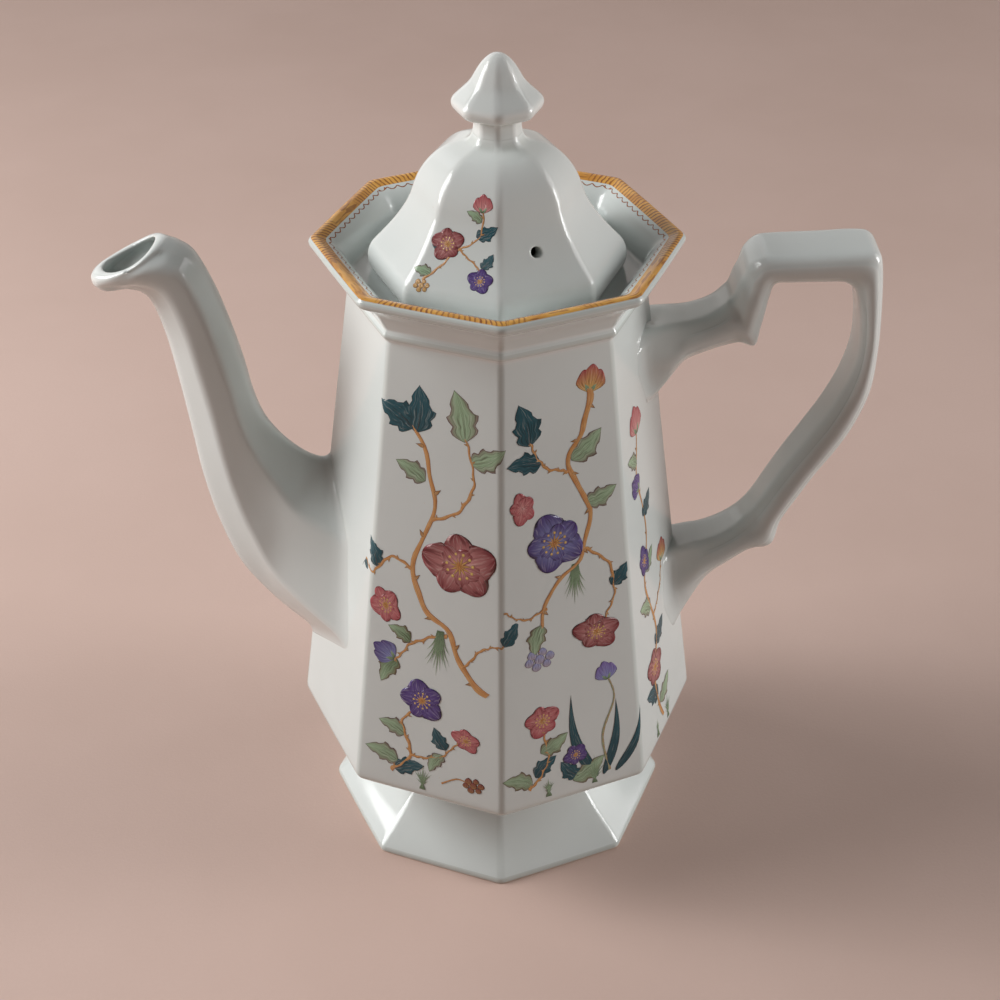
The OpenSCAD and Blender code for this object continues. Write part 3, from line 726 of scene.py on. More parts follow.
# %% The lid's skin
LID_FLATS = np.concatenate([[-1, -0.96], np.linspace(-0.87, 0.87, 17), [0.96, 1]])
line = thinned(lid_line, 1.15, 6.0)
points, quads, tris, bends = closed_skin(line, octagon_columns(LID_FLATS), LID_SWELL)
rows, cols = len(line) - 2, 8 * (len(LID_FLATS) + TURN_STEPS)
grid = points[:-2].reshape(rows, cols, 3)

# %% The vent's windows
VENT_D, VENT_SOFT, VENT_FACE = 3.0, 0.45, 0      # width, rounding of its edges, and its face
VENT_R, VENT_Z = 19.4, LEDGE_Z + 13.8            # a point of its axis: distance from the lid's, height
VENT_LEAN = math.radians(65)                     # the axis leans this far from upright
HALF_W = 3                                       # half of a window's width, in cells of the grid
middle = VENT_FACE * (len(LID_FLATS) + TURN_STEPS) + len(LID_FLATS) // 2
out_x, out_y = math.cos(facing(VENT_FACE)), math.sin(facing(VENT_FACE))


def vent_row(outside):
    """The row of the grid nearest to the vent's axis on the dome's outside or inside."""
    radius, height = grid[:, middle, :2] @ [out_x, out_y], grid[:, middle, 2]
    off = np.abs((radius - VENT_R) * math.cos(VENT_LEAN) - (height - VENT_Z) * math.sin(VENT_LEAN))
    off[(np.arange(rows) < np.argmax(radius)) != outside] = np.inf
    off[height < LID_Z + 6] = np.inf               # the flange isn't part of the dome
    return int(np.argmin(off))


def window_edge(row, flip):
    """Point numbers round the window, corner to corner; `flip` is -1 inside, where rows run back."""
    r = np.arange(-HALF_W, HALF_W + 1)
    far = np.full(2 * HALF_W, HALF_W)
    way = np.concatenate([[-far, r[:-1]], [r[:-1], far], [far, r[:0:-1]], [r[:0:-1], -far]], 1)
    return (row + flip * way[0]) * cols + middle + way[1]


row_out, row_in = vent_row(True), vent_row(False)
edge_out, edge_in = window_edge(row_out, 1), window_edge(row_in, -1)
quad_row, quad_col = quads[:, 0] // cols, quads[:, 0] % cols
hit = np.zeros(len(quads), bool)
for row in (row_out, row_in):
    hit |= ((quad_row >= row - HALF_W) & (quad_row < row + HALF_W)
            & (quad_col >= middle - HALF_W) & (quad_col < middle + HALF_W))
print("faces taken out for the vent:", hit.sum())

# %% The vent's rings
axis = points[edge_in].mean(0) - points[edge_out].mean(0)
axis /= np.linalg.norm(axis)


def vent_ring(edge, share, turn, inward):
    """A ring between the window's edge (share 0) and the hole (share 1). Past the face, the hole's
    edge rounds off: with `turn`, its radius shrinks by soft * sin and it sinks by soft * (1 - cos)."""
    soft, turn = VENT_SOFT, math.radians(turn)
    centre = points[edge].mean(0)
    way = points[edge] - centre
    radius = VENT_D / 2 + soft * (1 - math.sin(turn))
    circle = centre + way / np.linalg.norm(way, axis=1, keepdims=True) * radius
    return points[edge] * (1 - share) + circle * share + inward * axis * soft * (1 - math.cos(turn))


def band_between(ring, following):
    """Quads from one closed ring of points to the next."""
    return np.stack([ring, np.roll(ring, -1), np.roll(following, -1), following], 1)


rings = [vent_ring(edge_out, share, 0, 1) for share in (0.35, 0.7, 1)]
rings += [vent_ring(edge_out, 1, turn, 1) for turn in (25, 50, 75, 90)]
rings += [vent_ring(edge_in, 1, turn, -1) for turn in (90, 60, 30)]
rings += [vent_ring(edge_in, share, 0, -1) for share in (1, 0.5)]
each = np.arange(len(edge_out))
first, last = len(points), len(points) + (len(rings) - 1) * len(each)
quads = np.concatenate([quads[~hit], band_between(edge_out, first + each),
                        grid_faces(len(rings), len(each), first=first), band_between(last + each, edge_in)])
points = np.concatenate([points, *rings])
glazed("lid_skin", points, quads, tris, np.append(bends, np.zeros(len(points) - len(bends))))

# %% [markdown]
# ## The ochre band
# A band of ochre enamel is painted on the rim's flat top, with groups of brown brush strokes across
# it and a thin dark line along its edges. Painting it into the skin's material would need the same
# fine mesh everywhere, so the band is a skin of its own, a few hundredths of a millimetre thick,
# that follows the softened profile. Its UV map runs along and across, for the strokes to follow.

# %% The band's mesh
BAND_LIFT = 0.05     # thickness of the enamel on the glaze, mm
BAND_UV = 320.0      # length of its UV map round the rim; the brush strokes' spacing counts on it
BAND_FLATS = np.concatenate([[-1, -0.98], np.linspace(-0.94, 0.94, 33), [0.98, 1]])


def raised_strip(line, start, stop, rows):
    """A strip of the pot's shell between two distances along its profile, raised in the middle and
    sunk at both edges: grid + normal * lift * (1 - 2 |2v - 1|^6)."""
    far = walked(line)
    v = np.linspace(0, 1, rows)
    at = start + (stop - start) * v
    strip = np.stack([np.interp(at, far, c) for c in line.T], 1)
    slope = np.stack([np.interp(at, far, np.gradient(c, far)) for c in line[:, :2].T], 1)
    slope /= np.linalg.norm(slope * [SQUARE, 1], axis=1, keepdims=True)
    rise = BAND_LIFT * (1 - 2 * np.abs(2 * v - 1) ** 6)
    strip[:, 0] += slope[:, 1] * rise
    strip[:, 1] -= slope[:, 0] * SQUARE * rise
    grid = shell(strip, octagon_columns(BAND_FLATS), SWELL)
    return np.concatenate([grid, grid[:, :1]], 1), v


def along_profile(line, r_near, z_near):
    """Distance along a profile of its point nearest to [r, z]."""
    return walked(line)[np.argmin(np.hypot(line[:, 0] - r_near, line[:, 1] - z_near))]


band_start = along_profile(pot_line, RIM_R - 0.35, RIM_Z - 0.55)
band_stop = along_profile(pot_line, RIM_R - BAND_W - 0.05, RIM_Z - BAND_DIP - 0.15)
grid, v = raised_strip(pot_line, band_start, band_stop, 9)
round_far = walked(grid[4])
uv = np.stack(np.broadcast_arrays(round_far[None] / round_far[-1] * BAND_UV, v[:, None]), -1)
make_piece("rim_band", grid.reshape(-1, 3), grid_faces(*grid.shape[:2], around=False),
           uv=uv.reshape(-1, 2), solid=False)
print("band", round(band_stop - band_start, 2), "mm wide,", round(round_far[-1]), "mm round")

# %% [markdown]
# ## The painted sprays
# Flowering boughs in enamel colours climb the faces: full round blossoms, buds, lobed leaves,
# berries and grass on knotty stems. Each petal and leaf is a small surface of its own, a few
# hundredths of a millimetre high and domed like a brush stroke that dried, so it catches the light.
# A grid over (across, along) is bent along a curve and given a width for each place along it; the
# same arrays hold the colour and the distance to the edge, where the outline is drawn.

# %% Enamel colours


def mix(a, b, share):
    """Colour between a and b."""
    share = np.clip(np.asarray(share, float), 0, 1)[..., None]
    return np.asarray(a) * (1 - share) + np.asarray(b) * share


def tone(r, g, b):
    """A paint tone given as it looks, made linear for the shader: ((c + 0.055) / 1.055)^2.4."""
    return ((np.array([r, g, b]) / 255 + 0.055) / 1.055) ** 2.4


ROSE, CRIMSON, BLUSH = tone(166, 62, 74), tone(118, 22, 36), tone(226, 164, 160)
VIOLET, LILAC, MIST = tone(66, 42, 112), tone(118, 98, 168), tone(146, 156, 206)
TEAL, SAGE, MOSS = tone(20, 84, 96), tone(156, 184, 150), tone(96, 124, 88)
OCHRE, STRAW, AMBER = tone(212, 164, 104), tone(232, 196, 112), tone(188, 116, 58)
BROWN, PLUM = tone(112, 66, 46), tone(120, 74, 84)
DEEP, PALE, SOFT = (TEAL * 0.8, TEAL), (SAGE * 0.9, SAGE), (SAGE * 0.8, SAGE)    # leaves: foot and tip
print("enamel tones, linear: rose", ROSE.round(3), "teal", TEAL.round(3), "ochre", OCHRE.round(3))

# %% Brush strokes
WIDE, LONG = 9, 17   # points across and along a stroke
FILM = 0.012         # the paint's thinnest, at a stroke's edge, mm
PAINT = 0.36         # how much of its full height the paint kept when it dried
HAIR, HAIR_EDGE = 0.4, 0.2     # half widths under HAIR count as this far from an edge: no outline, mm
ACROSS = np.linspace(-1, 1, WIDE)[:, None]
ALONG = (0.5 - 0.5 * np.cos(math.pi * np.linspace(0, 1, LONG)))[None]
# the strokes on one surface: (face, s, up, lift, colour, distance to the edge in mm, uv, veined)
strokes = []


def brush(face, base, angle, length, width, bow, shape, inner, outer, thick=0.07, lobes=(0.0, 0),
          ruffle=0.0, border=None):
    """Strokes from `base`, pointing `angle` degrees from upright, to the left if positive. The
    middle line bows sideways by bow * sin(pi v); the half width is width * shape(v), with `lobes`
    (depth, count) along its edge; `ruffle` waves the tip. Colours run from `inner` at the base to
    `outer` at the tip, and to `border` at the sides."""
    base = np.atleast_2d(np.asarray(base, float))
    n = max(len(base), *(np.size(x) for x in (angle, length, width, bow)))
    base = np.broadcast_to(base, (n, 2))[:, None, None]
    angle, length, width, bow = (np.broadcast_to(np.asarray(x, float), n)[:, None, None]
                                 for x in (angle, length, width, bow))
    turn = np.radians(angle)
    lobed = 1 - lobes[0] * (1 - np.abs(np.sin(math.pi * (lobes[1] * ALONG + 0.02))))
    half = width * (shape(ALONG) * lobed)[None]
    x = ACROSS[None] * half + bow * np.sin(math.pi * ALONG)[None]
    y = ALONG[None] * length - 0.25 * half * (ACROSS ** 2)[None] * (ALONG[None] > 0.5)
    y = y + ruffle * half * (np.cos(3 * math.pi * ACROSS) * ALONG ** 2)[None]
    s = base[..., 0] + x * np.cos(turn) - y * np.sin(turn)
    up = base[..., 1] + x * np.sin(turn) + y * np.cos(turn)
    edge = np.minimum((1 - np.abs(ACROSS[None])) * half, np.minimum(ALONG, 1 - ALONG)[None] * length)
    lift = FILM + PAINT * thick * np.sqrt(np.clip(edge / (0.6 * width), 0, 1))
    colour = mix(inner, outer, np.broadcast_to(ALONG, s.shape) ** 0.9)
    if border is not None:
        colour = mix(colour, border, np.broadcast_to(0.9 * np.abs(ACROSS) ** 3, s.shape))
    uv = np.broadcast_to(np.stack(np.broadcast_arrays(ACROSS, ALONG), -1), (*s.shape, 2))
    strokes.append((face, s, up, lift, colour, edge + HAIR_EDGE * (width < HAIR), uv, 1.0))


def petal(v):
    """Half width along a round petal: a narrow foot that swells, and a tip that is part of a
    circle."""
    swell = 0.26 + 0.74 * np.sin(math.pi / 2 * np.clip(v / 0.6, 0, 1)) ** 1.3
    return swell * np.sqrt(np.clip(1 - (np.clip(v - 0.6, 0, 1) / 0.4) ** 2, 0.0005, 1))


def leaf(v):
    """Half width along a pointed leaf."""
    return np.clip(np.sin(math.pi * v ** 0.8), 0.02, 1) ** 0.8 * (1 - 0.2 * v)


def blade(v):
    """Half width along a narrow blade, widest near its foot."""
    return np.clip(np.sin(math.pi * v ** 0.55), 0.02, 1)


def disc(v):
    """Half width along a round dot."""
    return np.sqrt(np.clip(1 - (2 * v - 1) ** 2, 0.001, 1))


def dot(face, at, radius, colour, thick=0.1):
    """Round dots: strokes as long as they are wide."""
    at = np.atleast_2d(at)
    radius = np.broadcast_to(radius, len(at))
    start = at - np.stack([0 * radius, radius], 1)
    brush(face, start, 0, 2 * radius, radius, 0, disc, mix(colour, STRAW, 0.35), colour, thick)


# %% Stems
STEM_EDGE = 0.14     # keeps the outline of a stem thin, mm


def stem(face, points, width, colour=OCHRE, taper=0.5, knots=True):
    """A stem: a smooth curve through the points, as a ribbon `width` mm across that tapers off and
    wavers with a product of two sines, with small spurs to both sides if it has `knots`."""
    points = np.asarray(points, float)
    v = np.linspace(0, 1, LONG * 3)
    path = smooth_rows(points, v * (len(points) - 1))
    way = np.gradient(path, axis=0)
    way /= np.linalg.norm(way, axis=1, keepdims=True)
    if knots:
        waver = 0.35 * width * np.sin(v * 29) * np.sin(v * 11 + 1)
        path = path + np.stack([-way[:, 1], way[:, 0]], 1) * waver[:, None]
        spots = np.arange(4, LONG * 3 - 4, 7)
        lean = np.degrees(np.arctan2(-way[spots, 0], way[spots, 1]))
        brush(face, path[spots], lean + 58 * (-1.0) ** np.arange(len(spots)), 1.3 * width, 0.3 * width,
              0, blade, colour, mix(colour, BROWN, 0.6), 0.05)
    half = width / 2 * (1 - taper * v) * (1 + 0.22 * np.sin(v * 37) * np.sin(v * 23))
    across = np.linspace(-1, 1, 5)[:, None]
    s = path[:, 0] + across * half * way[:, 1]
    up = path[:, 1] - across * half * way[:, 0]
    edge = (1 - np.abs(across)) * half + 0 * v
    tint = mix(colour, AMBER, 0.5 * (across * 0.5 + 0.5) + 0.3 * np.sin(v * 60) ** 2)
    uv = np.stack(np.broadcast_arrays(across, v[None]), -1)
    lift = FILM + 0.05 * np.sqrt(edge / width)
    strokes.append((face, s[None], up[None], lift[None], tint[None], edge[None] + STEM_EDGE, uv[None], 0.0))


# %% Blossoms, leaves and grass


def leaned(mark, at, squash, angle):
    """Squashes the strokes made since `mark` about the point `at`, as if the flower were seen at a
    slant: what lies along `angle` keeps only the share `squash`."""
    way = np.array([math.cos(math.radians(angle)), math.sin(math.radians(angle))])
    for k in range(mark, len(strokes)):
        face, s, up, *rest = strokes[k]
        off = (squash - 1) * ((s - at[0]) * way[0] + (up - at[1]) * way[1])
        strokes[k] = (face, s + off * way[0], up + off * way[1], *rest)


def bloom(face, at, radius, tip, foot, turn=0.0, squash=1.0, slant=90.0):
    """A full blossom: two rings of five ruffled petals round a crown of eleven stamens."""
    mark = len(strokes)
    for ring, share in enumerate((1.0, 0.64)):
        angle = turn + np.arange(5) * 72 + ring * 36
        size = radius * share * (1 + 0.10 * np.sin(angle * 2.3 + ring))
        brush(face, at, angle, size, size * 0.55, 0.07 * radius * np.sin(angle * 1.7), petal,
              foot, tip, 0.08 + 0.04 * ring, (0.12, 3), 0.22, tip * 0.7)
    angle = turn + 11 + np.arange(11) * 360 / 11
    brush(face, at, angle, 0.36 * radius, 0.045 * radius, 0, blade, AMBER, STRAW, 0.13)
    around = np.radians(angle)
    dot(face, np.array(at) + 0.37 * radius * np.stack([-np.sin(around), np.cos(around)], 1),
        0.055 * radius, STRAW, 0.15)
    dot(face, at, 0.16 * radius, AMBER, 0.17)
    leaned(mark, at, squash, slant)


def bud(face, at, angle, size, tip, foot):
    """A bud seen from the side: three round petals from one foot, held in a small cup."""
    brush(face, at, angle + np.array([-22, 22, 0]), size * np.array([0.86, 0.86, 1]), size * 0.32,
          size * np.array([0.1, -0.1, 0]), petal, foot, tip, 0.08, (0.08, 2), 0.1)
    brush(face, at, angle + np.array([-38, 38]), size * 0.42, size * 0.11, 0, leaf, MOSS, SAGE, 0.1)


def leaves(face, at, angle, length, width, tones, bow=0.0, border=None):
    """Lobed leaves: two tones from foot to tip, a darker border, and a midrib of their own."""
    foot, tip = tones
    brush(face, at, angle, length, width, bow, leaf, foot, tip, 0.06, (0.38, 3), 0.0, border)
    brush(face, at, angle, np.asarray(length) * 0.86, 0.15, bow * 0.86, blade, mix(foot, BROWN, 0.4),
          foot, 0.1)


def tuft(face, at, angle, spread, size, count=9):
    """A tuft of grass: fine blades fanned out from one foot."""
    step = np.linspace(-1, 1, count)
    size = size * (1 - 0.35 * step ** 2) * (1 + 0.12 * np.cos(step * 9))
    foot = np.array(at) + np.stack([0.9 * step, 0 * step], 1)
    brush(face, foot, angle + spread * step, size, 0.26, 0.1 * size * step, blade, MOSS, SAGE, 0.04)


def berries(face, at, colour, size):
    """A cluster of seven berries."""
    around = np.radians(np.arange(6) * 60 + 12)
    ring = np.array(at) + 1.9 * size * np.stack([1.15 * np.cos(around), 0.85 * np.sin(around)], 1)
    dot(face, np.concatenate([ring, [at]]), size * np.array([1, 0.9, 1.05, 0.95, 1, 0.9, 1.1]), colour, 0.13)


# %% [markdown]
# The layout is a table for each face: what to draw, where, and how large. Places are [right of the
# face's middle line, up from the widest line of the body], in mm; angles are from upright. Some
# strokes run round a corner onto the next face. The back wears the same sprays, turned half round.

# %% The bough that climbs to the left of the front corner, and a low clump
SPRAY_LEFT = [
    (stem, [[17, 40], [9, 47], [4, 58], [-4, 66], [-7, 80], [-1, 94], [-3, 108], [-8, 120]], 2.0),
    (stem, [[-7, 76], [-14, 78], [-19, 72], [-24, 74]], 1.1),
    (stem, [[-2, 92], [7, 98], [10, 108], [7, 119]], 1.1),
    (stem, [[4, 57], [-6, 52], [-12, 44]], 1.1),
    (stem, [[9, 47], [15, 55], [21, 57]], 0.9),
    (leaves, [[-8, 119], [-7, 118]], [58, -2], [12, 14], [5.4, 5.2], DEEP, 0.8),
    (leaves, [[7, 118], [9, 112]], [14, -60], [15, 11], [5.4, 4.4], (SAGE, SAGE), 0.8, PLUM),
    (leaves, [-4, 104], 62, 10, 3.9, SOFT, 0.5, PLUM),
    (leaves, [[-23, 74], [-18, 74]], [150, 20], [11, 9], [3.6, 3.2], DEEP, 0.8),
    (leaves, [[-11, 45], [-7, 52]], [150, 62], [10, 8], [3.6, 3.2], (MOSS, SAGE), 0.8, BROWN),
    (leaves, [21, 57], -30, 9, 3.6, DEEP, 0.5),
    (bloom, [7, 80], 10.5, CRIMSON, BLUSH, 8),
    (bloom, [-15, 62], 6.2, ROSE, BLUSH, 30, 0.72, 20),
    (bud, [-12, 45], 60, 7.5, VIOLET, MIST),
    (tuft, [2, 58], 176, 20, 14, 11),
    (stem, [[-12, 6], [-6, 14], [-9, 24], [-3, 31]], 1.2),
    (stem, [[-6, 13], [3, 15], [9, 22]], 0.9),
    (leaves, [[-10, 10], [-8, 20], [4, 16]], [75, 70, 150], [11, 9, 8], [4.0, 3.6, 3.0], SOFT, 0.8, PLUM),
    (leaves, [[-11, 7], [5, 18]], [-70, 30], [10, 8], [3.6, 3.0], DEEP, -0.6),
    (bloom, [-3, 33], 6.8, VIOLET, LILAC, 14),
    (bloom, [11, 23], 4.6, ROSE, BLUSH, 0, 0.8, 60),
    (berries, [14, 8], CRIMSON, 1.1),
    (stem, [[4, 6], [9, 9], [13, 8]], 0.6, OCHRE, 0.5, False),
    (tuft, [-2, 2], 0, 40, 8)]

# %% The bough that hangs to the right of the front corner, and a bank of grass and leaves
SPRAY_RIGHT = [
    (stem, [[9, 130], [7, 119], [2, 108], [8, 94], [5, 80], [-4, 72], [-8, 60]], 1.8),
    (stem, [[2, 107], [-5, 110], [-9, 118]], 1.0),
    (stem, [[6, 82], [13, 76], [15, 66], [12, 58]], 1.0),
    (stem, [[-6, 66], [-13, 64], [-19, 68]], 0.8),
    (leaves, [[-9, 117], [-6, 111]], [12, 84], [13, 10], [5.0, 4.0], DEEP, 0.8),
    (leaves, [[3, 110], [7, 96]], [-50, -70], [12, 10], [4.6, 4.0], PALE, 0.8, PLUM),
    (leaves, [[12, 58], [14, 68]], [120, -40], [10, 8], [3.8, 3.2], DEEP, 0.7),
    (leaves, [-8, 61], 165, 10, 3.6, PALE, 0.6, BROWN),
    (bloom, [-3, 86], 9.0, VIOLET, MIST, 20),
    (bloom, [9, 54], 7.4, CRIMSON, BLUSH, 0, 0.8, 70),
    (bloom, [-12, 99], 5.0, ROSE, BLUSH, 15, 0.8, 10),
    (bud, [9, 129], -10, 8.0, ROSE, STRAW),
    (berries, [-9, 50], MIST, 1.5),
    (stem, [[-8, 60], [-9, 56], [-9, 51]], 0.6, OCHRE, 0.5, False),
    (tuft, [3, 78], 178, 20, 12, 11),
    (stem, [[-14, 6], [-8, 14], [-9, 26]], 1.1),
    (stem, [[12, 5], [10, 18], [14, 30], [12, 38]], 0.9, SAGE, 0.5, False),
    (brush, [[8, 4], [10, 4], [14, 4]], [14, -10, -24], [32, 26, 22], [1.9, 1.6, 1.5], [-3, 2, 2.5], blade,
     TEAL * 0.7, TEAL, 0.07),
    (leaves, [[-13, 8], [-10, 18], [0, 5]], [70, -62, -60], [10, 10, 12], [3.8, 3.8, 4.2], PALE, 0.8, BROWN),
    (leaves, [[-12, 10], [2, 6]], [-50, 40], [9, 9], [3.6, 3.4], DEEP, -0.6),
    (bloom, [-9, 29], 5.6, ROSE, BLUSH, 10),
    (bud, [12, 37], 10, 6.5, LILAC, MIST),
    (bloom, [1, 14], 3.8, VIOLET, LILAC, 30),
    (tuft, [7, 2], 0, 46, 9, 11),
    (tuft, [-8, 2], 0, 40, 6)]

# %% An upright sprig for the narrow view beside the handle, and a garland for the lid
SPRAY_SIDE = [
    (stem, [[-2, 6], [-7, 22], [-2, 40], [-8, 58], [-3, 76], [-7, 94], [-4, 108]], 1.3),
    (stem, [[-3, 44], [4, 50], [7, 58]], 0.9),
    (leaves, [[-5, 16], [-4, 34], [-5, 80]], [62, -56, -52], [11, 10, 9], [4.2, 3.8, 3.4], DEEP, 0.8),
    (leaves, [[-4, 12], [-5, 48], [-7, 62], [-6, 98]], [-58, 62, -56, 60], [11, 10, 9, 8],
     [4.0, 3.8, 3.4, 3.2], PALE, 0.8, PLUM),
    (bloom, [-6, 27], 6.4, CRIMSON, BLUSH),
    (bloom, [-7, 66], 5.2, VIOLET, LILAC, 9, 0.8, 20),
    (bud, [7, 57], -14, 7.5, ROSE, STRAW),
    (bud, [-4, 107], 6, 9.0, ROSE, BLUSH),
    (bud, [-6, 90], 48, 7.0, VIOLET, LILAC),
    (tuft, [2, 2], 0, 40, 8),
    (tuft, [-8, 2], 0, 30, 6)]
SPRAY_LID = [
    (stem, [[-9, 6], [-5, 11], [-1, 16], [4, 20], [4, 27]], 0.8),
    (stem, [[-1, 16], [5, 12], [9, 8]], 0.6),
    (leaves, [[3, 20], [-3, 14], [6, 12]], [-58, 70, -30], [6.5, 6, 5], [2.5, 2.3, 2.0], DEEP, 0.5),
    (leaves, [[-7, 8], [4, 24]], [80, 62], [5.5, 5], [2.2, 1.9], PALE, 0.4, PLUM),
    (bloom, [-4.5, 17], 4.6, CRIMSON, BLUSH, 10),
    (bloom, [6.5, 8.5], 3.5, VIOLET, LILAC),
    (bud, [4, 26.5], 6, 5.0, ROSE, BLUSH),
    (berries, [-9, 4.6], OCHRE, 0.75)]

# %% [markdown]
# All strokes of one surface become one piece. Their flat places are wrapped onto the faces, round
# the rounded corners too. Strokes drawn after each other differ by a hair's breadth in height, so
# that their surfaces don't coincide where they overlap.

# %% Strokes wrapped onto the faces
LAYER, LAYERS, NEXT_UP = 0.0006, 0.05, 0.004     # one stroke over the last, up to, and within one, mm


def on_flats(line, face, s, along, lift, edge, swell):
    """Points on a face: s mm to the right of its middle line, `along` mm down the profile, `lift` mm
    above the glaze. Past the flat, s goes round the rounded corner and on over the next face."""
    far = walked(line)
    r, z = (np.interp(along, far, line[:, i]) for i in (0, 1))
    dr, dz = (np.interp(along, far, np.gradient(line[:, i]) / np.gradient(far)) for i in (0, 1))
    a = r * SQUARE
    flat = (a - edge) * math.tan(HALF_STEP)
    beyond = np.maximum(np.abs(s) - flat, 0)
    after = np.maximum(beyond - edge * 2 * HALF_STEP, 0)
    first = np.array([math.cos(facing(face)), math.sin(facing(face))])
    right = np.array([-first[1], first[0]])
    at = facing(face) + np.sign(s) * np.minimum(beyond / edge, 2 * HALF_STEP)
    outward = np.stack([np.cos(at), np.sin(at)], -1)
    onward = np.stack([-np.sin(at), np.cos(at)], -1)
    place = np.clip(s / (a * math.tan(HALF_STEP)), -1, 1)
    full = swell * (a / SWELL_FROM) * (1 - place ** 2) * (after == 0)
    xy = ((a - edge)[..., None] * first + np.clip(s, -flat, flat)[..., None] * right + edge * outward
          + (np.sign(s) * after)[..., None] * onward + full[..., None] * outward)
    slope = np.hypot(dr * SQUARE, dz) * np.sign(dz)
    normal = np.concatenate([outward * (dz / slope)[..., None], (-dr * SQUARE / slope)[..., None]], -1)
    return np.concatenate([xy, z[..., None]], -1) + normal * lift[..., None]


def painted(name, line, start, climb, edge, swell, side=1):
    """One piece from all strokes. Heights start `start` mm down the profile; `climb` is -1 where they
    rise against its direction, and `side` is -1 inside the pot."""
    parts, first = [], 0
    for order, (face, s, up, lift, colour, rim, uv, veined) in enumerate(strokes):
        count, wide, long = s.shape
        raised = lift + LAYER * order % LAYERS + NEXT_UP * np.arange(count)[:, None, None]
        p = on_flats(line, face, s, start + climb * up, side * raised, edge, swell)
        each = first + np.arange(count)[:, None, None] * wide * long
        quads = (grid_faces(wide, long, around=False)[:, ::-1] + each).reshape(-1, 4)
        parts.append((p.reshape(-1, 3), quads, colour.reshape(-1, 3), rim.ravel(), uv.reshape(-1, 2),
                      np.full(rim.size, veined)))
        first += s.size
    strokes.clear()
    points, quads, colours, rims, uvs, veins = (np.concatenate(part) for part in zip(*parts))
    make_piece(name, points, quads, values={"edge_mm": rims, "veined": veins}, colours=colours, uv=uvs,
               solid=False)


# %% The sprays on the body, front and back
belly_at = along_profile(pot_line[:int(len(pot_line) * 0.6)], BELLY_R, BELLY_Z)
for name, turned in (("sprays_front", 0), ("sprays_back", 4)):
    for face, spray in ((7, SPRAY_LEFT), (0, SPRAY_RIGHT), (1, SPRAY_SIDE)):
        for draw, *how in spray:
            draw((face + turned) % 8, *how)
    painted(name, pot_line, belly_at, 1, EDGE, SWELL)

# %% A scalloped line under the band
SCALLOP, SCALLOPS = 3.15, 12         # width of one scallop in mm, and how many each face has
SCALLOP_UP, SCALLOP_H = 0.35, 1.0    # distance from the band to the line, and depth of its arches, mm
SCALLOP_W = 0.34                     # width of the line, mm
for face in range(8):
    for part in range(3):
        far = SCALLOP * SCALLOPS * part / 3 + np.linspace(0, SCALLOP * SCALLOPS / 3, 52)
        up = SCALLOP_UP + SCALLOP_H * np.abs(np.sin(math.pi * far / SCALLOP))
        way = np.stack([far - SCALLOP * SCALLOPS / 2, up], 1)
        stem(face, way, SCALLOP_W, mix(AMBER, BROWN, 0.6), 0, False)
painted("rim_scallops", pot_line, band_stop, 1, EDGE, SWELL, -1)

# %% The garlands on the lid
for face in (7, 3):
    for draw, *how in SPRAY_LID:
        draw(face, *how)
skirt_at = walked(lid_line)[np.argmax(lid_line[:, 0])]
painted("lid_sprays", lid_line, skirt_at, -1, LID_EDGE, LID_SWELL)

# %% [markdown]
# ## Finishes
# Glazed ware gets its look from a clear, glossy skin of uneven thickness. On ridges it runs thin and
# looks a little lighter and warmer; in hollows it pools and looks greyer. The skins carry how much
# they bend as the attribute `relief`, so one node group can tell ridges from hollows on every piece.
# The group gives out only what varies over the surface: colour, roughness and a height for a bump.

# %% Small helpers for node trees


def put(tree, kind, sets=(), **inputs):
    """A node with its settings; each input, named with _ for a space, is a value or a socket."""
    node = tree.nodes.new("ShaderNode" + kind)
    for key, value in dict(sets).items():
        setattr(node, key, value)
    for key, value in inputs.items():
        socket = node.inputs[int(key[1:])] if key[1:].isdigit() else node.inputs[key.replace("_", " ")]
        if isinstance(value, bpy.types.NodeSocket):
            tree.links.new(value, socket)
        else:
            socket.default_value = value
    return node


def calc(tree, operation, a, b=0.0):
    """A Math node's result."""
    return put(tree, "Math", {"operation": operation}, i0=a, i1=b).outputs[0]


def between(tree, value, low, high, out_low=0.0, out_high=1.0):
    """Smooth step of a value from low to high, as out_low to out_high."""
    node = put(tree, "MapRange", {"interpolation_type": "SMOOTHSTEP"}, Value=value, From_Min=low,
               From_Max=high, To_Min=out_low, To_Max=out_high)
    return node.outputs["Result"]


def blend(tree, share, a, b, how="MIX"):
    """Colour a turned towards b by a share."""
    node = put(tree, "Mix", {"data_type": "RGBA", "blend_type": how}, i0=share, i6=a, i7=b)
    return node.outputs[2]


def noise(tree, place, scale, detail=2.0, rough=0.5):
    """Noise between 0 and 1 at that many cells a metre."""
    return put(tree, "TexNoise", Vector=place, Scale=scale, Detail=detail, Roughness=rough).outputs[0]


def group(name, inputs, outputs):
    """An empty node group with colour, value or vector sockets, and its two end nodes."""
    tree = bpy.data.node_groups.new(name, "ShaderNodeTree")
    for side, sockets in (("INPUT", inputs), ("OUTPUT", outputs)):
        for label, kind, value in sockets:
            socket = tree.interface.new_socket(name=label, in_out=side, socket_type="NodeSocket" + kind)
            if value is not None:
                socket.default_value = value
    return tree, tree.nodes.new("NodeGroupInput"), tree.nodes.new("NodeGroupOutput")


def material(name):
    """A material with a Principled shader, and its tree."""
    look = bpy.data.materials.new(name)
    look.use_nodes = True
    return look, look.node_tree, look.node_tree.nodes["Principled BSDF"]


